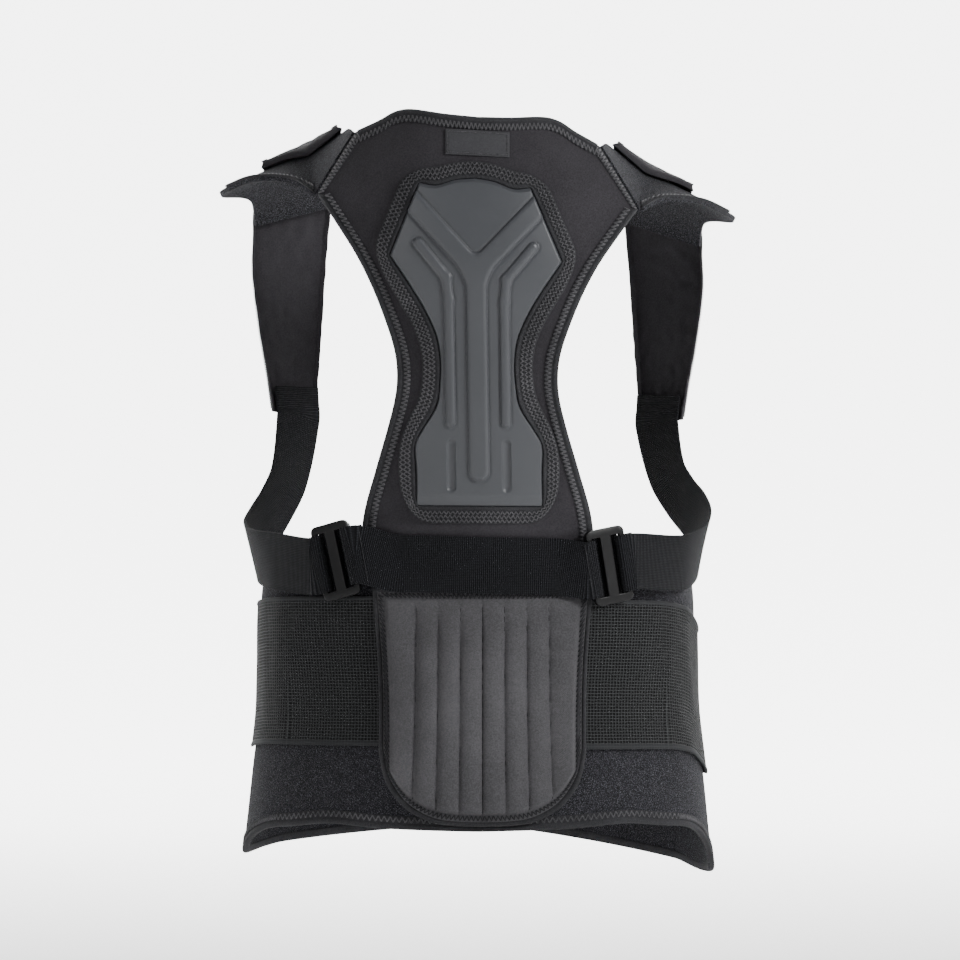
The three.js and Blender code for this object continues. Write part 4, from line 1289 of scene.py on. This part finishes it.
slide_plastic = bpy.data.materials.new("slide_plastic")
slide_plastic.use_nodes = True
tree = slide_plastic.node_tree
surface = tree.nodes["Principled BSDF"]
surface.inputs["Specular IOR Level"].default_value = 0.28
wear = placed(tree, patch_group, Scale=60.0)
link(tree, blend(tree, wear.outputs[0], (0.0035, 0.0035, 0.004), (0.007, 0.007, 0.0075)),
     surface.inputs["Base Color"])
link(tree, ramp(tree, wear.outputs[0], 0, 1, 0.3, 0.45), surface.inputs["Roughness"])


def slider_frame(name):
    """Middle of a slider, with unit vectors along the back to +X, up its bars and outwards."""
    side, across, height, lean = sliders[name]
    angle = back_angle(side * across, height, slider_off)
    origin = torso_point(angle, height, slider_off)
    outward = outward_at(angle, height)
    up = Vector((0, 0, 1))
    along = -up.cross(outward)
    along *= math.copysign(1, along.x)
    tip = math.radians(lean)
    tipped_along = along * math.cos(tip) + up * math.sin(tip)
    tipped_up = up * math.cos(tip) - along * math.sin(tip)
    return origin, tipped_along, tipped_up, outward


for name in sliders:
    origin, along, up, outward = slider_frame(name)
    slide = bmesh.new()
    slot_tall = web_width + slot_spare
    xs = [-slider_width / 2, -slider_width / 2 + outer_bar, -middle_bar / 2, middle_bar / 2,
          slider_width / 2 - outer_bar, slider_width / 2]
    zs = [-slider_height / 2, -slot_tall / 2, slot_tall / 2, slider_height / 2]
    bmesh.ops.create_grid(slide, x_segments=5, y_segments=3, size=0.5)
    for vert in slide.verts:
        vert.co.x = xs[round((vert.co.x + 0.5) * 5)]
        vert.co.y = zs[round((vert.co.y + 0.5) * 3)]
    slots = [f for f in slide.faces if abs(f.calc_center_median().y) < slot_tall / 4
             and middle_bar / 2 < abs(f.calc_center_median().x) < slider_width / 2 - outer_bar]
    bmesh.ops.delete(slide, geom=slots, context="FACES_ONLY")
    corners = [v for v in slide.verts if abs(abs(v.co.x) - slider_width / 2) < 1e-6
               and abs(abs(v.co.y) - slider_height / 2) < 1e-6]
    bmesh.ops.bevel(slide, geom=corners, offset=slider_corner, segments=5, affect="VERTICES", profile=0.5,
                    material=-1)
    body = bmesh.ops.extrude_face_region(slide, geom=slide.faces[:])
    for vert in [g for g in body["geom"] if isinstance(g, bmesh.types.BMVert)]:
        vert.co.z += slider_thickness
    for vert in slide.verts:
        vert.co.z -= slider_thickness / 2
    bmesh.ops.recalc_face_normals(slide, faces=slide.faces[:])
    bmesh.ops.transform(slide, verts=slide.verts[:],
                        matrix=Matrix((along, up, outward)).transposed().to_4x4())
    bmesh.ops.translate(slide, verts=slide.verts[:], vec=origin)
    mesh = bpy.data.meshes.new(f"slide_{name}")
    slide.to_mesh(mesh)
    slide.free()
    piece = bpy.data.objects.new(f"slide_{name}", mesh)
    bpy.context.scene.collection.objects.link(piece)
    rounded(piece, 0.0009, 3, 40)
    for face in mesh.polygons:
        face.use_smooth = True
    mesh.materials.append(slide_plastic)
    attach(piece, "root")
    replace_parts(piece, f"slider_{name}")

# Webs: 38 mm woven elastic. The back band runs from slider to slider and lies on the panel and the pad.
# Each side strap turns round a slider's outer bar, goes round the side and up to its shoulder strap.
web_cloth, tree, surface, tone = cloth(
    "ribbed_elastic", (0.003, 0.0032, 0.004), (0.008, 0.0084, 0.0105), 0.8, 0.02)
at = tree.nodes.new("ShaderNodeUVMap")
at.uv_map = "UVMap"
axes = tree.nodes.new("ShaderNodeSeparateXYZ")
link(tree, at.outputs[0], axes.inputs[0])
rib_wave = maths(tree, "SINE", maths(tree, "MULTIPLY", axes.outputs[1], 2 * math.pi / 0.0013))
cross_wave = maths(tree, "SINE", maths(tree, "MULTIPLY", axes.outputs[0], 2 * math.pi / 0.0011))
height = maths(tree, "ADD", rib_wave, maths(tree, "MULTIPLY", cross_wave, 0.35))
rib_lit = ramp(tree, height, 0.6, 1.3, 0, 0.75)
link(tree, speckled(tree, tone, rib_lit, (0.045, 0.047, 0.055)), surface.inputs["Base Color"])
bumped(tree, surface, height, 0.0004)


def squared(share):
    """Pushes a round turn out towards a square one."""
    return math.copysign(abs(share) ** 0.6, share)


def loop_stations(frame_of, toward):
    """Middle line of a web round one bar, from its sewn tail to its main layer, with the way across it."""
    origin, along, up, outward = frame_of
    bar = toward * (slider_width - outer_bar) / 2
    lift = slider_thickness / 2 + loop_spare + web_thickness / 2
    reach = outer_bar / 2 + loop_spare + web_thickness / 2
    places = [(bar + toward * tail_length, -lift)]
    for k in range(7):
        turn = math.pi * (k / 6 - 0.5)
        places.append((bar - toward * reach * squared(math.cos(turn)), lift * squared(math.sin(turn))))
    places.append((bar + toward * tail_length * 0.6, lift))
    return [(origin + along * a + outward * o, up) for a, o in places]


def smooth_stations(stations, count):
    """Stations at even steps on a smooth curve through the given ones."""
    marks = [0.0]
    for (a, _), (b, _) in zip(stations[:-1], stations[1:]):
        marks.append(marks[-1] + (b - a).length)
    table = [(marks[k], *s[0], *s[1]) for k, s in enumerate(stations)]
    fine = []
    for k in range(count + 1):
        at = marks[-1] * k / count
        row = [read(table, at, c) for c in range(1, 7)]
        fine.append((Vector(row[:3]), Vector(row[3:]).normalized()))
    return fine, marks[-1]


def web(name, stations, count, width=web_width):
    fine, length = smooth_stations(stations, count)

    def place(u, v):
        k = round(v * count)
        centre, up = fine[k]
        run = (fine[min(k + 1, count)][0] - fine[max(k - 1, 0)][0]).normalized()
        up = (up - run * up.dot(run)).normalized()
        return centre + up * (u - 0.5) * width

    piece = laid(name, count, 16, place)
    thickened(piece, web_thickness, 0)
    rounded(piece, 0.0005, 2, 50)
    piece.data.materials.append(web_cloth)
    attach(piece, "root")
    return piece


# a flat layer of web lies behind each slider, so its slots look on dark cloth
for name in sliders:
    origin, along, up, outward = slider_frame(name)
    behind = -slider_thickness / 2 - loop_spare - web_thickness * 1.9
    layer = [(origin + along * a + outward * behind, up) for a in (-0.0125, -0.006, 0, 0.006, 0.0125)]
    web(f"slide_backing_{name}", layer, 24, 0.045)

left, right = slider_frame("left"), slider_frame("right")
middle = []
for x in (-0.054, -0.04, -0.024, -0.008, 0.008, 0.024, 0.04, 0.054):
    share = (x + sliders["left"][1]) / (sliders["left"][1] + sliders["right"][1])
    z = mix(sliders["left"][2], sliders["right"][2], share) - 0.001
    top = back_point(x, z + web_width / 2, foam + 2 * seat + web_thickness / 2)
    foot = back_point(x, z - web_width / 2, pad_seat + pad_foam * 0.45 + web_thickness / 2)
    middle.append(((top + foot) / 2, (top - foot).normalized()))
band_stations = loop_stations(left, 1) + middle + loop_stations(right, -1)[::-1]
band = web("back_band_web", band_stations, 220)


def band_station(x):
    """Middle and up direction of the band's outer layer, at a place across the back."""
    fine, _ = smooth_stations(band_stations, 400)
    return min(fine, key=lambda at: abs(at[0].x - x) + 3 * (at[0].y + 0.2))


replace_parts(band, "back_band")
for name, x in (("left", -0.0765), ("right", 0.0785)):
    # the web's end is sewn down beside each slider
    centre, up = band_station(x)
    seam = [centre + up * (k / 30 - 0.5) * web_width * 0.94 - Vector((0, web_thickness / 2 + 0.0003, 0))
            for k in range(31)]
    stitched(f"band_end_stitches_{name}", [worn(point) for point in seam], 0.0003, binding_cloth)

side_route = [  # degrees from the middle of the back, rise left, rise right, distance off the torso, lean
    (52, 0.04, 0.02, 0.0125, 4),
    (66, 0.08, 0.12, 0.0125, 9),
    (80, 0.16, 0.3, 0.013, 14),
    (94, 0.3, 0.58, 0.013, 15),
    (107, 0.56, 0.88, 0.0115, 12),
    (119, 0.98, 1.22, 0.008, 6),
    (129, 1.53, 1.68, 0.0044, 0),
]
for name, (side, _, _, _) in sliders.items():
    centres, normals = [], []
    for turn, rise_left, rise_right, off, lean in side_route:
        angle = side * math.radians(turn)
        rise = (rise_left if side < 0 else rise_right) * web_width
        centres.append(torso_point(angle, rise, off))
        outward = outward_at(angle, 0) * math.cos(math.radians(lean))
        outward.z = -math.sin(math.radians(lean))
        normals.append(outward)
    # the strap's end lies flat under the shoulder strap
    for place in (strap_end, strap_end - 0.4, strap_end - 0.8):
        under = foam + 1.5 * seat - web_thickness / 2
        centre = shoulder_off(side, 0, place, under)
        centres.append(centre)
        normals.append(shoulder_off(side, 0, place, under + 0.001) - centre)
    stations = loop_stations(slider_frame(name), side)
    for k, centre in enumerate(centres):
        run = centres[min(k + 1, len(centres) - 1)] - centres[max(k - 1, 0)]
        stations.append((centre, normals[k].cross(run).normalized() * side))
    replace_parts(web(f"side_strap_web_{name}", stations, 240), f"side_strap_{name}")

bpy.context.view_layer.update()
